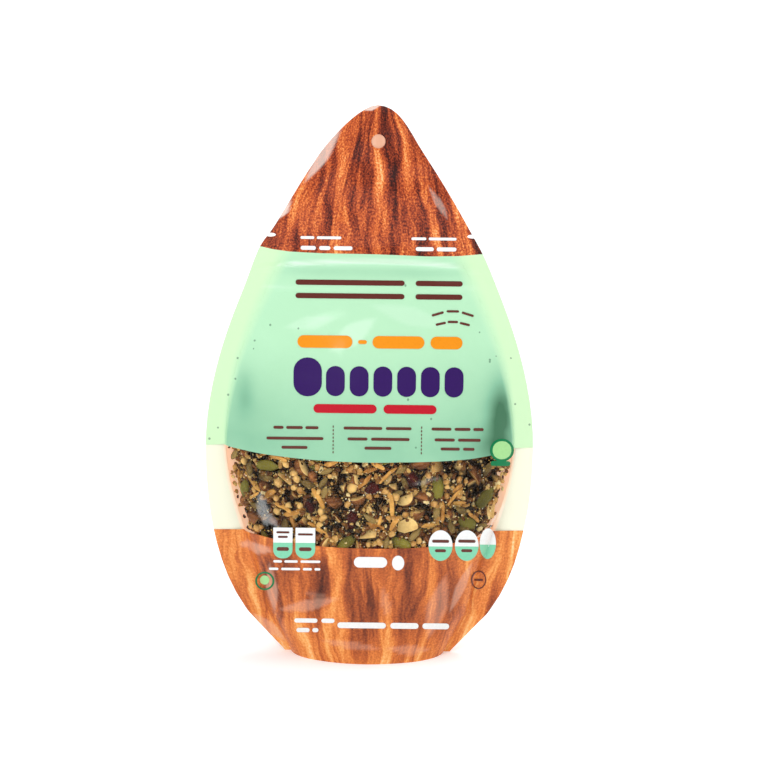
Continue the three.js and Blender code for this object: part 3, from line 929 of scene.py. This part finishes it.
def roughened(piece, size, strength, seed):
    """Pushes the points in and out along their normals, as baking and breaking leave them."""
    for vertex in piece.data.vertices:
        push = noise.noise(vertex.co / size + Vector((seed, seed * 1.7, 0)))
        vertex.co += vertex.normal * push * strength


def model_of(piece, skin_test=None):
    """Takes a modelled piece's points and faces for copying, and removes it."""
    points = np.array([v.co[:] for v in piece.data.vertices])
    faces = [tuple(p.vertices) for p in piece.data.polygons]
    skin = [1.0 if skin_test is None or skin_test(p.center) else 0.0 for p in piece.data.polygons]
    bpy.data.objects.remove(piece)
    return points, faces, skin


def crowding(circles, depth_band):
    """How far the circles reach into pieces that already lie at this depth."""
    near = [t[:3] for t in taken if t[3] == depth_band]
    if not near:
        return 0
    there = np.array(near)
    worst = 0
    for x, z, r in circles:
        gap = np.hypot(there[:, 0] - x, there[:, 1] - z)
        worst = max(worst, float(np.max((r + there[:, 2] - gap) / np.minimum(r, there[:, 2]))))
    return worst


def between_webs(points):
    """Whether a piece's points all lie inside the pouch."""
    for x, y, z in points:
        near, far = seen_from(front_skin, x, z, -1)[0], seen_from(back_skin, x, z, 1)[0]
        if near is None or far is None or not near.y < y < far.y - 2 * FILM:
            return False
    return True


def strewn_place(shape, length, width, band, limit, tilt, edge):
    """A free spot in the window for a piece, as a matrix, or None. Band 0 lies on the film, 1 deeper."""
    for _ in range(TRIES):
        z = chance.uniform(STREWN_LOW, STREWN_HIGH)
        half = float(pocket_half_width(z)) - HEAP_MARGIN - length * 0.25 + edge
        x = chance.uniform(-half, half)
        if chance.random() < AT_THE_ENDS:
            x = math.copysign(half - chance.uniform(0, ENDS_REACH), x)
        turn = chance.uniform(0, 2 * math.pi)
        reach = max(0, length - width) / 2
        spots = (-1, 0, 1) if reach > 0.001 else (0,)
        along_x, along_z = reach * math.cos(turn), reach * math.sin(turn)
        circles = [(x + s * along_x, z + s * along_z, width / 2) for s in spots]
        if crowding(circles, band) > limit or (band == 1 and crowding(circles, 0) > 1.1):
            continue
        place, facing = heap_front(x, z)
        if place is None:
            continue
        lie = facing.to_track_quat("Z", "Y").to_matrix() @ Matrix.Rotation(turn, 3, "Z")
        lean = Euler((chance.uniform(-tilt, tilt), chance.uniform(-tilt, tilt) * 0.6, 0)).to_matrix()
        rotation = lie @ lean
        foremost = float((shape @ np.array(rotation).T @ np.array(facing)).max())
        depth = foremost + CLEAR_OF_FILM + length**2 * FILM_CURVE
        depth += 0 if band == 0 else chance.uniform(*DEEPER)
        centre = place - facing * depth
        if not between_webs(shape @ np.array(rotation).T + np.array(centre)):
            continue
        taken.extend((*circle, band) for circle in circles)
        return Matrix.Translation(centre) @ rotation.to_4x4()
    return None


def sunk(points):
    """How deep each point lies behind the film, in millimetres. It counts for less at the heap's ends, where
    light comes in through the seals."""
    depths = []
    for x, y, z in points:
        place, facing, _, _ = seen_from(front_skin, x, z, -1)
        inwards = min(1.0, max(0.3, (float(pocket_half_width(z)) - abs(x)) / SHADE_EASES))
        depths.append(1000 * (y - place.y) * abs(facing.y) * inwards if place else 0.0)
    return depths


def joined(name, models, placed, paint, seam=35):
    """Joins a kind's copies into one mesh. Each copy keeps its own pattern, tone, skin and depth."""
    points, faces, skins, own, tones = [], [], [], [], []
    count = 0
    for index, matrix, scale, tone in placed:
        base, base_faces, base_skin = models[index % len(models)]
        turn = np.array(matrix.to_3x3())
        points.append((base * scale) @ turn.T + np.array(matrix.translation))
        own.append(base + np.array([tone * 0.37, tone * 0.71, tone * 1.3]))
        faces += [tuple(corner + count for corner in face) for face in base_faces]
        skins += base_skin
        tones += [tone] * len(base)
        count += len(base)
    points = np.concatenate(points)
    mesh = bpy.data.meshes.new(name)
    mesh.from_pydata(points.tolist(), [], faces)
    kept(mesh, "tone", tones)
    kept(mesh, "skin", skins, domain="FACE")
    kept(mesh, "sunk", sunk(points))
    kept(mesh, "own", np.concatenate(own), "FLOAT_VECTOR")
    piece = bpy.data.objects.new(name, mesh)
    bpy.context.collection.objects.link(piece)
    mesh.materials.append(paint)
    only(piece)
    bpy.ops.object.shade_smooth_by_angle(angle=math.radians(seam))
    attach(piece, "root")
    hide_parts("granola")


def strewn(name, models, paint, count, length, width, limit, tilt, sizes, edge=0.0, seam=35):
    """Strews a kind in the window, each copy up to the limit into its neighbours, and joins them."""
    placed = []
    for i in range(count):
        scale = chance.uniform(*sizes)
        shape = models[i % len(models)][0] * scale
        band = 0 if i < count * FRONT_SHARE else 1
        matrix = strewn_place(shape, length * scale, width * scale, band, limit, tilt, edge)
        if matrix:
            placed.append((i, matrix, scale, chance.random()))
    joined(name, models, placed, paint, seam)


def shaded_by_depth(paint, colour, start=0.9, reach=3.0):
    """Painted shade: whatever lies deeper behind the film is darkened."""
    depth = calc(paint, "SUBTRACT", attribute(paint, "sunk"), start)
    share = calc(paint, "DIVIDE", depth, reach, clamp=True)
    return mixed(paint, share, colour, IN_SHADE)


def food_paint(name, roughness, low, high, mottle, skin=()):
    """Two colours that vary from piece to piece and in soft mottles on each, with painted shade where
    deeper.
    A skin is streaked along it.
    """
    paint = finish(name, {"Specular IOR Level": 0.1, "Roughness": roughness})
    own = attribute(paint, "own", "Vector")
    patch = noise_at(paint, own, mottle, 4, 0.6)
    tone = calc(paint, "MULTIPLY", attribute(paint, "tone"), 0.6)
    share = calc(paint, "ADD", tone, calc(paint, "MULTIPLY_ADD", patch, 1.5, -0.5), clamp=True)
    colour = mixed(paint, share, low, high)
    if skin:
        streaks = noise_at(paint, stretched(paint, own, (60, 500, 500)), 1, 3)
        colour = mixed(paint, attribute(paint, "skin"), colour, ramp(paint, streaks, skin))
    # Painted shade on the pieces that lie deeper.
    connect(paint, shaded_by_depth(paint, colour), "Base Color")
    bumped(paint, noise_at(paint, own, mottle * 3, 3, 0.6), 0.5, 0.0002)
    return paint


# ---- Granola: pumpkin seeds ----
# Hulled seeds, flat, with one pointed end, olive green with paler mottles. They are the largest pieces and
# lie against the film, each on its flat side.

PUMPKIN_SEED = (0.0068, 0.0037, 0.0013)
pumpkin_models = []
for bend in (0.9, 0.75, 1.05):
    seed = ball(16, 10, (PUMPKIN_SEED[0], PUMPKIN_SEED[1] * bend, PUMPKIN_SEED[2]))
    narrowed(seed, PUMPKIN_SEED[0], 0.35, 0.0062)
    narrowed(seed, -PUMPKIN_SEED[0], 1.25, 0.004)
    roughened(seed, 0.004, 0.0004, bend * 10)
    pumpkin_models.append(model_of(seed))
pumpkin_paint = food_paint("pumpkin seed", 0.38, (0.085, 0.070, 0.010), (0.29, 0.25, 0.040), 260)
places = {"count": 15, "length": 0.0132, "width": 0.0072, "limit": 0.12, "tilt": 0.25, "sizes": (0.82, 1.03)}
strewn("pumpkin_seeds", pumpkin_models, pumpkin_paint, **places)


# ---- Granola: chopped almonds ----
# Corners of almonds as a chopper leaves them: cream cut faces, and a streaked brown skin on the rounded
# side. Each is a nut cut by three flat strokes, with its edges worn.

ALMOND = (0.0075, 0.0052, 0.0038)
SKIN_FROM = 0.86
ALMOND_SKIN = [(0.35, (0.10, 0.028, 0.010)), (0.7, (0.42, 0.16, 0.050))]


def chopped(seed):
    knife = random.Random(seed)
    nut = ball(20, 14, ALMOND)
    opened(nut)
    for _ in range(3):
        bpy.ops.mesh.select_all(action="SELECT")
        lean = Vector((knife.uniform(-1, 1), knife.uniform(-1, 1), knife.uniform(-0.9, 0.9))).normalized()
        bpy.ops.mesh.bisect(
            plane_co=lean * knife.uniform(0.0005, 0.0026),
            plane_no=lean,
            use_fill=True,
            clear_outer=True,
        )
    closed()
    modified(nut, "BEVEL", width=0.00025, segments=1, limit_method="ANGLE", angle_limit=math.radians(35))
    points = np.array([v.co[:] for v in nut.data.vertices])
    middle = (points.max(0) + points.min(0)) / 2
    points, faces, skin = model_of(nut, lambda c: sum((c[i] / ALMOND[i]) ** 2 for i in range(3)) > SKIN_FROM)
    return points - middle, faces, skin


almond_models = [chopped(seed) for seed in range(9)]
almond_paint = food_paint("almond", 0.5, (0.42, 0.17, 0.030), (1.0, 0.70, 0.27), 300, ALMOND_SKIN)
places = {"count": 78, "length": 0.0088, "width": 0.0068, "limit": 0.3, "tilt": 3.1, "sizes": (0.75, 1.4)}
strewn("chopped_almonds", almond_models, almond_paint, **places, edge=0.001)


# ---- Granola: cranberries ----
# Dried and halved, wrinkled and glossy, and so dark a red that only their edges show it. A few lie among the
# nuts.

BERRY = (0.0052, 0.0036, 0.0021)
berry_models = []
for seed in range(4):
    berry = ball(18, 12, BERRY)
    roughened(berry, 0.0021, 0.0013, seed + 3)
    roughened(berry, 0.0009, 0.0004, seed + 8)
    berry_models.append(model_of(berry))
berry_paint = food_paint("dried cranberry", 0.28, (0.020, 0.003, 0.003), (0.15, 0.014, 0.011), 330)
places = {"count": 10, "length": 0.0104, "width": 0.0070, "limit": 0.2, "tilt": 0.5, "sizes": (0.8, 1.1)}
strewn("cranberries", berry_models, berry_paint, **places, seam=60)


# ---- Granola: slivered almonds ----
# Thin sticks cut from almonds, flat in section, toasted to orange. Their ends taper, and baking has bent
# some of them.

SLIVER = (0.0066, 0.0013, 0.0009)
sliver_models = []
for seed in range(6):
    shorter, thinner = 0.75 + 0.08 * seed, 1.2 - 0.08 * seed
    bpy.ops.mesh.primitive_cube_add(size=2)
    stick = bpy.context.object
    stick.scale = (SLIVER[0] * shorter, SLIVER[1] * thinner, SLIVER[2])
    bpy.ops.object.transform_apply(scale=True)
    opened(stick)
    for cut in (-0.6, -0.3, 0, 0.3, 0.6):
        bpy.ops.mesh.select_all(action="SELECT")
        bpy.ops.mesh.bisect(plane_co=(SLIVER[0] * cut, 0, 0), plane_no=(1, 0.1, 0))
    closed()
    for end in (SLIVER[0] * shorter, -SLIVER[0] * shorter):
        narrowed(stick, end, 0.45, 0.003)
    modified(stick, "BEVEL", width=0.0003, segments=1, limit_method="ANGLE", angle_limit=math.radians(40))
    roughened(stick, 0.004, 0.0007, seed)
    for vertex in stick.data.vertices:
        vertex.co.y += (seed % 3 - 1) * 12 * vertex.co.x**2
    sliver_models.append(model_of(stick))
sliver_paint = food_paint("almond sliver", 0.5, (0.28, 0.085, 0.014), (0.88, 0.47, 0.12), 240)
places = {"count": 54, "length": 0.012, "width": 0.0028, "limit": 0.45, "tilt": 0.3, "sizes": (0.6, 1.15)}
strewn("almond_slivers", sliver_models, sliver_paint, **places)


# ---- Granola: sunflower seeds ----
# Hulled kernels, blunt at one end and pointed at the other, in a greyish tan. They lie flat between the
# larger pieces.

SUNFLOWER = (0.0046, 0.0020, 0.0012)
kernel_models = []
for seed in range(3):
    kernel = ball(12, 8, (SUNFLOWER[0], SUNFLOWER[1] * (0.9 + 0.15 * seed), SUNFLOWER[2]))
    narrowed(kernel, SUNFLOWER[0], 0.3, 0.0055)
    roughened(kernel, 0.003, 0.0003, seed)
    kernel_models.append(model_of(kernel))
kernel_paint = food_paint("sunflower kernel", 0.45, (0.085, 0.050, 0.014), (0.38, 0.25, 0.080), 320)
places = {"count": 90, "length": 0.0092, "width": 0.0040, "limit": 0.5, "tilt": 0.35, "sizes": (0.75, 1.1)}
strewn("sunflower_seeds", kernel_models, kernel_paint, **places, edge=0.001, seam=60)


# ---- Granola: round nut pieces ----
# Rounded bits of nut, cream to orange, as large as a small pea. Baking has worn off their edges, and they
# lie at any angle.

NUT_PIECE = (0.0024, 0.0022, 0.0019)
round_models = []
for seed in range(4):
    nub = ball(12, 8, NUT_PIECE)
    roughened(nub, 0.0022, 0.0008, seed + 20)
    round_models.append(model_of(nub))
round_paint = food_paint("nut piece", 0.45, (0.34, 0.12, 0.020), (0.96, 0.62, 0.22), 380)
places = {"count": 110, "length": 0.0046, "width": 0.0044, "limit": 0.5, "tilt": 3.1, "sizes": (0.55, 1.15)}
strewn("nut_pieces", round_models, round_paint, **places, edge=0.001, seam=60)


# ---- Granola: crumbs, chia, flax and specks ----
# What is finer lies loose on the bed: broken nut, black chia, brown flax and pale specks. Each grain is
# turned at random, somewhere between the bed and the film.

# A grain's tips: the axis, and how many times its thickness it reaches along it.
GRAIN_TIPS = [(0, 2.35), (0, -2.35), (1, 1.4), (1, -1.4), (2, -1.2)]
LOOSE_LOW, LOOSE_HIGH = 0.054, 0.110
CRUMB_TONES = [
    (0.0, (0.030, 0.010, 0.004)),
    (0.35, (0.140, 0.050, 0.014)),
    (0.65, (0.380, 0.180, 0.045)),
    (0.88, (0.700, 0.430, 0.130)),
    (1.0, (0.900, 0.720, 0.360)),
]
CHIA_TONES = [(0.0, (0.004, 0.003, 0.002)), (0.7, (0.018, 0.011, 0.007)), (1.0, (0.060, 0.040, 0.022))]
SPECK_TONES = [(0.0, (0.55, 0.33, 0.05)), (0.6, (0.85, 0.65, 0.25)), (1.0, (0.95, 0.9, 0.75))]


def loose(count, size, deep, high, sizes, edge=0.001, ends=0.0):
    """Places for loose grains. Where ends are given, they lie only so far in from the heap's two ends."""
    placed = []
    there = np.array([spot[:3] for spot in taken if spot[3] == 0])
    while len(placed) < count:
        z = chance.uniform(LOOSE_LOW, LOOSE_HIGH)
        half = float(pocket_half_width(z)) - HEAP_MARGIN + edge
        x = chance.uniform(-half, half)
        if ends:
            x = math.copysign(half - ends * chance.random(), x)
        covers = np.hypot(there[:, 0] - x, there[:, 1] - z) < there[:, 2] * 0.85
        if covers.any() and chance.random() > 0.12:
            continue
        place, facing = heap_front(x, z)
        scale = chance.uniform(*sizes)
        if place is None:
            continue
        depth = chance.uniform(high, deep) + size * scale
        spin = Matrix.Rotation(chance.uniform(0, math.pi), 3, "Z")
        lie = facing.to_track_quat("Z", "Y").to_matrix() @ spin
        lean = Euler((chance.uniform(-0.5, 0.5), chance.uniform(-0.3, 0.3), 0)).to_matrix()
        turn, centre = lie @ lean, place - facing * depth
        tips = [centre + turn.col[axis] * size * scale * reach for axis, reach in GRAIN_TIPS]
        if not between_webs(tips):
            continue
        matrix = Matrix.Translation(centre) @ turn.to_4x4()
        placed.append((len(placed), matrix, scale, chance.random()))
    return placed


def grain_model(half_size, seed=0, rough=0):
    bpy.ops.mesh.primitive_ico_sphere_add(subdivisions=2 if rough else 1, radius=1)
    grain = bpy.context.object
    grain.scale = half_size
    bpy.ops.object.transform_apply(scale=True)
    if rough:
        roughened(grain, half_size[0], half_size[0] * rough, seed)
    return model_of(grain)


def grain_paint(name, roughness, specular, tones):
    """One tone for each grain. Returns the material and its colour."""
    paint = finish(name, {"Roughness": roughness, "Specular IOR Level": specular})
    colour = ramp(paint, attribute(paint, "tone"), tones)
    connect(paint, colour, "Base Color")
    return paint, colour


crumb_models = [grain_model((0.0011, 0.0009, 0.0006), seed, 0.7) for seed in range(6)]
crumb_paint, crumb_colour = grain_paint("crumb", 0.6, 0.15, CRUMB_TONES)
# Painted shade on the crumbs that lie deeper.
connect(crumb_paint, shaded_by_depth(crumb_paint, crumb_colour), "Base Color")
bumped(crumb_paint, noise_at(crumb_paint, attribute(crumb_paint, "own", "Vector"), 1800, 2), 0.6, 0.0002)
crumbs = loose(1050, 0.0007, 0.0020, 0.0003, (0.35, 1.5), 0.0006)
crumbs += loose(150, 0.0009, 0.0018, 0.0004, (0.6, 1.9), 0.0006, ends=0.0075)
joined("crumbs", crumb_models, crumbs, crumb_paint, seam=20)

chia_models = [grain_model((0.0010, 0.00065, 0.0005))]
chia_paint = grain_paint("chia", 0.3, 0.12, CHIA_TONES)[0]
bumped(chia_paint, noise_at(chia_paint, attribute(chia_paint, "own", "Vector"), 2600, 2), 0.3, 0.0001)
chia = loose(2600, 0.0006, 0.0024, 0.0012, (0.8, 1.15), edge=-0.0045)
joined("chia_seeds", chia_models, chia, chia_paint, seam=80)

flax_models = [grain_model((0.0021, 0.0011, 0.00045))]
flax_paint = food_paint("flax", 0.25, (0.10, 0.030, 0.010), (0.30, 0.12, 0.040), 500)
flax = loose(240, 0.0009, 0.0014, 0.0004, (0.85, 1.1))
joined("flax_seeds", flax_models, flax, flax_paint, seam=80)

speck_models = [grain_model((0.00034, 0.0003, 0.00024))]
speck_paint = grain_paint("speck", 0.6, 0.15, SPECK_TONES)[0]
specks = loose(800, 0.0004, 0.0014, 0.0001, (0.6, 1.4), edge=0.0)
joined("specks", speck_models, specks, speck_paint, seam=20)


# ---- Print: how its shapes are drawn ----
# Plain shapes of colour printed with the film. Each colour is drawn flat, in millimetres, as it is seen from
# the front, cut across in small steps so that it can bend, and then laid on the film.

CUT_STEP, INK, INK_LIFT = 0.0009, 0.00004, 0.00013
STEEP_FROM = 0.0555


def plane(**at):
    bpy.ops.mesh.primitive_plane_add(size=1, **at)


def circle(**at):
    bpy.ops.mesh.primitive_circle_add(vertices=40, radius=1, fill_type="NGON", **at)


def flat_piece(add, x, z, width, height, tilt=0.0):
    """A primitive stood upright, to face the front."""
    add(location=(x / 1000, 0, z / 1000), rotation=(math.pi / 2, -math.radians(tilt), 0))
    piece = bpy.context.object
    piece.scale = (width / 1000, height / 1000, 1)
    bpy.ops.object.transform_apply(location=True, rotation=True, scale=True)
    return piece


def bar(x, z, width, height, tilt=0.0, corner=None):
    """A bar with round ends, or with corners of a given radius."""
    piece = flat_piece(plane, x, z, width, height, tilt)
    opened(piece)
    bpy.ops.mesh.bevel(offset=(corner or min(width, height) * 0.49) / 1000, segments=6, affect="VERTICES")
    closed()
    return piece


def bars(*rows):
    """Rows of bars. Each row is its height, its thickness and the two ends of every bar in it."""
    return [bar((a + b) / 2, z, b - a, thick) for z, thick, *spans in rows for a, b in spans]


def disc(x, z, half_width, half_height):
    return flat_piece(circle, x, z, half_width, half_height)


def ring(x, z, radius, stroke, narrowing=1.0):
    piece = disc(x, z, radius * narrowing, radius)
    opened(piece)
    bpy.ops.mesh.inset(thickness=stroke / 1000)
    bpy.ops.mesh.delete(type="FACE")
    closed()
    return piece


def tablet(x, low, high, width):
    """A tablet with a square top and a round bottom."""
    middle = (low + high) / 2
    piece = flat_piece(plane, x, middle, width, high - low)
    picked(piece, "VERT", lambda point: point.co.z * 1000 < middle)
    bpy.ops.mesh.bevel(offset=width * 0.46 / 1000, segments=8, affect="VERTICES")
    closed()
    return piece


def below(piece, height):
    """Keeps what lies below a height."""
    opened(piece)
    bpy.ops.mesh.bisect(plane_co=(0, 0, height / 1000), plane_no=(0, 0, 1), clear_outer=True)
    closed()
    return piece


def on_film(x, z, side):
    """Where a drawn point falls: on the front as the camera sees it, on the back straight on."""
    if side < 0:
        return front_skin.ray_cast(camera.location, (Vector((x, 0, z)) - camera.location).normalized())
    return seen_from(back_skin, x, z, 1)


def cut_across(piece):
    """Cuts a drawn piece in small steps, and in smaller ones where the film turns away at the sides."""
    points = np.array([v.co[:] for v in piece.data.vertices])
    opened(piece)
    for axis in (0, 2):
        first = math.ceil(points[:, axis].min() / CUT_STEP + 0.01) * CUT_STEP
        cuts = np.arange(first, points[:, axis].max(), CUT_STEP)
        if axis == 0:
            steep = cuts[np.abs(cuts) > STEEP_FROM]
            cuts = [*cuts, *(steep - CUT_STEP / 3), *(steep - CUT_STEP * 2 / 3)]
        for place in cuts:
            co, no = [0, 0, 0], [0, 0, 0]
            co[axis], no[axis] = float(place), 1
            bpy.ops.mesh.select_all(action="SELECT")
            bpy.ops.mesh.bisect(plane_co=co, plane_no=no)
    closed()


def printed(name, shapes, paint, side=-1, lift=INK_LIFT):
    """Joins the shapes of one colour, lays them on the film and gives them a skin of ink."""
    bpy.ops.object.select_all(action="DESELECT")
    for shape in shapes:
        shape.select_set(True)
    bpy.context.view_layer.objects.active = shapes[0]
    bpy.ops.object.join()
    piece = bpy.context.object
    piece.name = name
    cut_across(piece)
    for vertex in piece.data.vertices:
        place, facing, _, _ = on_film(vertex.co.x, vertex.co.z, side)
        facing = facing if facing.y * side > 0 else -facing
        vertex.co = place + facing * lift
    if side > 0:
        turned_over(piece)
    modified(piece, "SOLIDIFY", thickness=INK, offset=1)
    bpy.ops.object.shade_smooth_by_angle(angle=SMOOTH_BELOW)
    piece.data.materials.append(paint)
    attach(piece, "root")


def ink(name, colour):
    """An ink, a little uneven as print is, under the same gloss as the film."""
    paint = finish(name, FILM_GLOSS)
    place = add_node(paint, "ShaderNodeTexCoord").outputs["Object"]
    uneven = noise_at(paint, place, 900, 3)
    darker = tuple(0.82 * c for c in colour)
    connect(paint, mixed(paint, uneven, darker, colour), "Base Color")
    return paint


# ---- Print: front ----
# Plain bars in rows, a row of purple beans, half-coloured tablets and eggs on the window's edge, and small
# round marks. They are printed with the film, and the eggs' and tablets' colours lie over one another.

BROWN_INK = ink("brown ink", (0.125, 0.022, 0.016))
TEXT_INK = ink("dark ink", (0.135, 0.036, 0.026))
ORANGE_INK = ink("orange ink", (0.93, 0.30, 0.006))
PURPLE_INK = ink("purple ink", (0.032, 0.005, 0.115))
RED_INK = ink("red ink", (0.55, 0.007, 0.022))
WHITE_INK = ink("white ink", (0.93, 0.93, 0.92))
GREEN_INK = ink("green ink", (0.0, 0.20, 0.065))
PALE_INK = ink("pale green ink", (0.40, 0.74, 0.30))
BADGE_INK = ink("badge mint ink", (0.24, 0.68, 0.44))
TABLETS = [(-43.4, 9.8), (-32.0, 10.0)]
EGGS = [(36.6, 56.1, 6.1), (49.9, 56.3, 6.0), (60.6, 57.4, 4.2)]
EGG_HALF_HEIGHT = 8.1

title = [(-37.6, 16.7), (22.2, 45.6)]
printed("title_bars", bars((191.6, 2.7, *title), (184.8, 2.7, *title)), BROWN_INK)
upper_arc = [(33.4, 176.2, 17), (40.9, 177.6, 0), (48.4, 176.2, -17)]
lower_arc = [(35.0, 171.2, 13), (41.0, 172.2, 0), (47.0, 171.2, -13)]
dark = [bar(x, z, 6.2, 1.2, tilt) for x, z, tilt in upper_arc]
dark += [bar(x, z, 5.2, 1.2, tilt) for x, z, tilt in lower_arc]
dark += bars(
    (117, 1.5, (-48.4, -43.3), (-42.0, -33.6), (-32.3, -25.7), (-13.1, 6.4), (8.2, 21.1), (31.2, 41.2)),
    (117, 1.5, (42.8, 50.8), (52.2, 57.4)),
    (111.4, 1.5, (-51.9, -23.2), (-11.1, -1.0), (0.8, 20.2), (32.8, 43.0), (44.6, 56.0)),
    (106.7, 1.5, (-44.3, -31.2), (-2.5, 11.1), (35.9, 45.6), (47.2, 53.0)),
)
dark += [bar(x, z, 0.5, 1.2) for x in (-18.3, 26.2) for z in np.arange(104.4, 119.4, 1.9)]
printed("text_bars", dark, TEXT_INK)
orange = bars((161.4, 6.4, (-36.5, -9.0), (1.0, 27.0), (30.0, 46.0)), (161.4, 2.0, (-6.2, -1.8)))
printed("orange_bars", orange, ORANGE_INK)
beans = [bar(-31.3, 143.2, 14.2, 20.0)]
beans += [bar(x, 141.2, 9.4, 15.5) for x in (-17.4, -5.5, 6.4, 18.3, 30.2, 42.1)]
printed("purple_beans", beans, PURPLE_INK)
printed("red_bars", bars((127, 4.6, (-28.3, 3.4), (6.9, 33.5))), RED_INK)

halves = [below(tablet(x, 48.4, 64.6, width), 56.7) for x, width in TABLETS]
halves += [below(disc(x, z, half, EGG_HALF_HEIGHT), z - 0.5) for x, z, half in EGGS]
printed("badge_lower_halves", halves, BADGE_INK, lift=INK_LIFT + INK)
white = [flat_piece(plane, x, 60.6, width, 8.1) for x, width in TABLETS]
white += [disc(x, z, half, EGG_HALF_HEIGHT) for x, z, half in EGGS]
white += bars((46.8, 5.6, (-7.3, 9.6))) + [disc(15.2, 46.6, 3.1, 3.9)]
white += bars(
    (46.8, 1.3, (-48.2, -43.8), (-42.6, -35.8), (-34.4, -24.3)),
    (42.8, 1.3, (-50.4, -45.6), (-44.2, -34.6), (-33.2, -28.6), (-27.3, -24.3)),
    (15.5, 2.3, (-37.4, -25.6), (-23.6, -16.9)),
    (10.4, 2.3, (-36.3, -29.6), (-28.2, -25.1)),
    (13.2, 3.1, (-15.4, 9.3), (11.6, 26.0), (28.0, 41.6)),
    (214.2, 1.4, (-35.3, -28.4), (-27.2, -15.0), (19.8, 27.2), (28.4, 42.2)),
    (209.0, 2.0, (-35.2, -27.6), (-26.0, -20.4), (-18.8, -9.4), (22.0, 31.0), (32.4, 42.2)),
)
printed("white_shapes", white, WHITE_INK)
on_badges = [
    bar(-43.4, 62.2, 6.6, 1.1),
    bar(-43.4, 59.8, 5.0, 1.1),
    bar(-32.0, 61.2, 7.6, 1.1),
    bar(-43.4, 53.4, 6.2, 2.0),
    bar(-32.0, 53.4, 6.4, 2.0),
]
on_eggs = [(36.6, 58.4, 8.6), (36.6, 53.4, 5.6), (49.9, 58.6, 8.8), (49.9, 53.6, 5.6)]
on_badges += [bar(x, z, width, 1.6) for x, z, width in on_eggs]
on_badges += [ring(56.3, 38.2, 4.9, 0.6, 0.8), bar(56.3, 38.2, 4.6, 1.1)]
printed("badge_lines", on_badges, TEXT_INK, lift=INK_LIFT + 2.5 * INK)
greens = [ring(66.8, 106.4, 6.0, 1.3), bar(66.2, 99.5, 10.0, 2.6), ring(-52.6, 36.3, 4.9, 0.9)]
printed("green_rings", greens, GREEN_INK)
printed("pale_discs", [disc(66.8, 106.4, 4.8, 4.8), disc(-52.6, 36.8, 2.4, 2.4)], PALE_INK)


# ---- Print: back ----
# A cream panel with a ruled table and lines of bars, as the back of a food pack has. A purple line stands
# above it, and two white lines at the foot.

CREAM_INK = ink("cream ink", (0.93, 0.88, 0.72))
PANEL_MIDDLE, RULE = 136, 0.4
TABLE_STEP, LINE_STEP = 6.8, 6.4
ENTRIES = (20, 14, 17, 12, 19, 15, 11, 18, 13, 16)
LINES = (18, 35, 31, 34, 22, 35, 33, 26, 35, 30, 34)

printed("back_panel", [bar(0, PANEL_MIDDLE, 92, 80, corner=4)], CREAM_INK, side=1)
rules = [bar(x, PANEL_MIDDLE, RULE, 68.5) for x in (-41.0, -4.0)]
rules += [bar(-22.5, z, 37.2, RULE) for z in np.arange(102, 171, TABLE_STEP)]
rules += [bar(-6 - w / 2, z, w, 1.5) for w, z in zip(ENTRIES, np.arange(105.4, 170, TABLE_STEP))]
rules += [bar(-37.5, z, 4.2, 1.5) for z in np.arange(105.4, 164, TABLE_STEP)]
rules += [bar(41 - w / 2, z, w, 1.5) for w, z in zip(LINES, np.arange(103.5, 172, LINE_STEP))]
printed("back_lines", rules, TEXT_INK, side=1, lift=INK_LIFT + 2 * INK)
printed("back_title", bars((188, 6, (-32, 4), (9, 32))), PURPLE_INK, side=1)
foot_lines = bars((40, 2.4, (-34, -18), (-14, 5), (8, 34)), (33, 2.4, (-28, -2), (2, 26)))
printed("back_foot_lines", foot_lines, WHITE_INK, side=1)
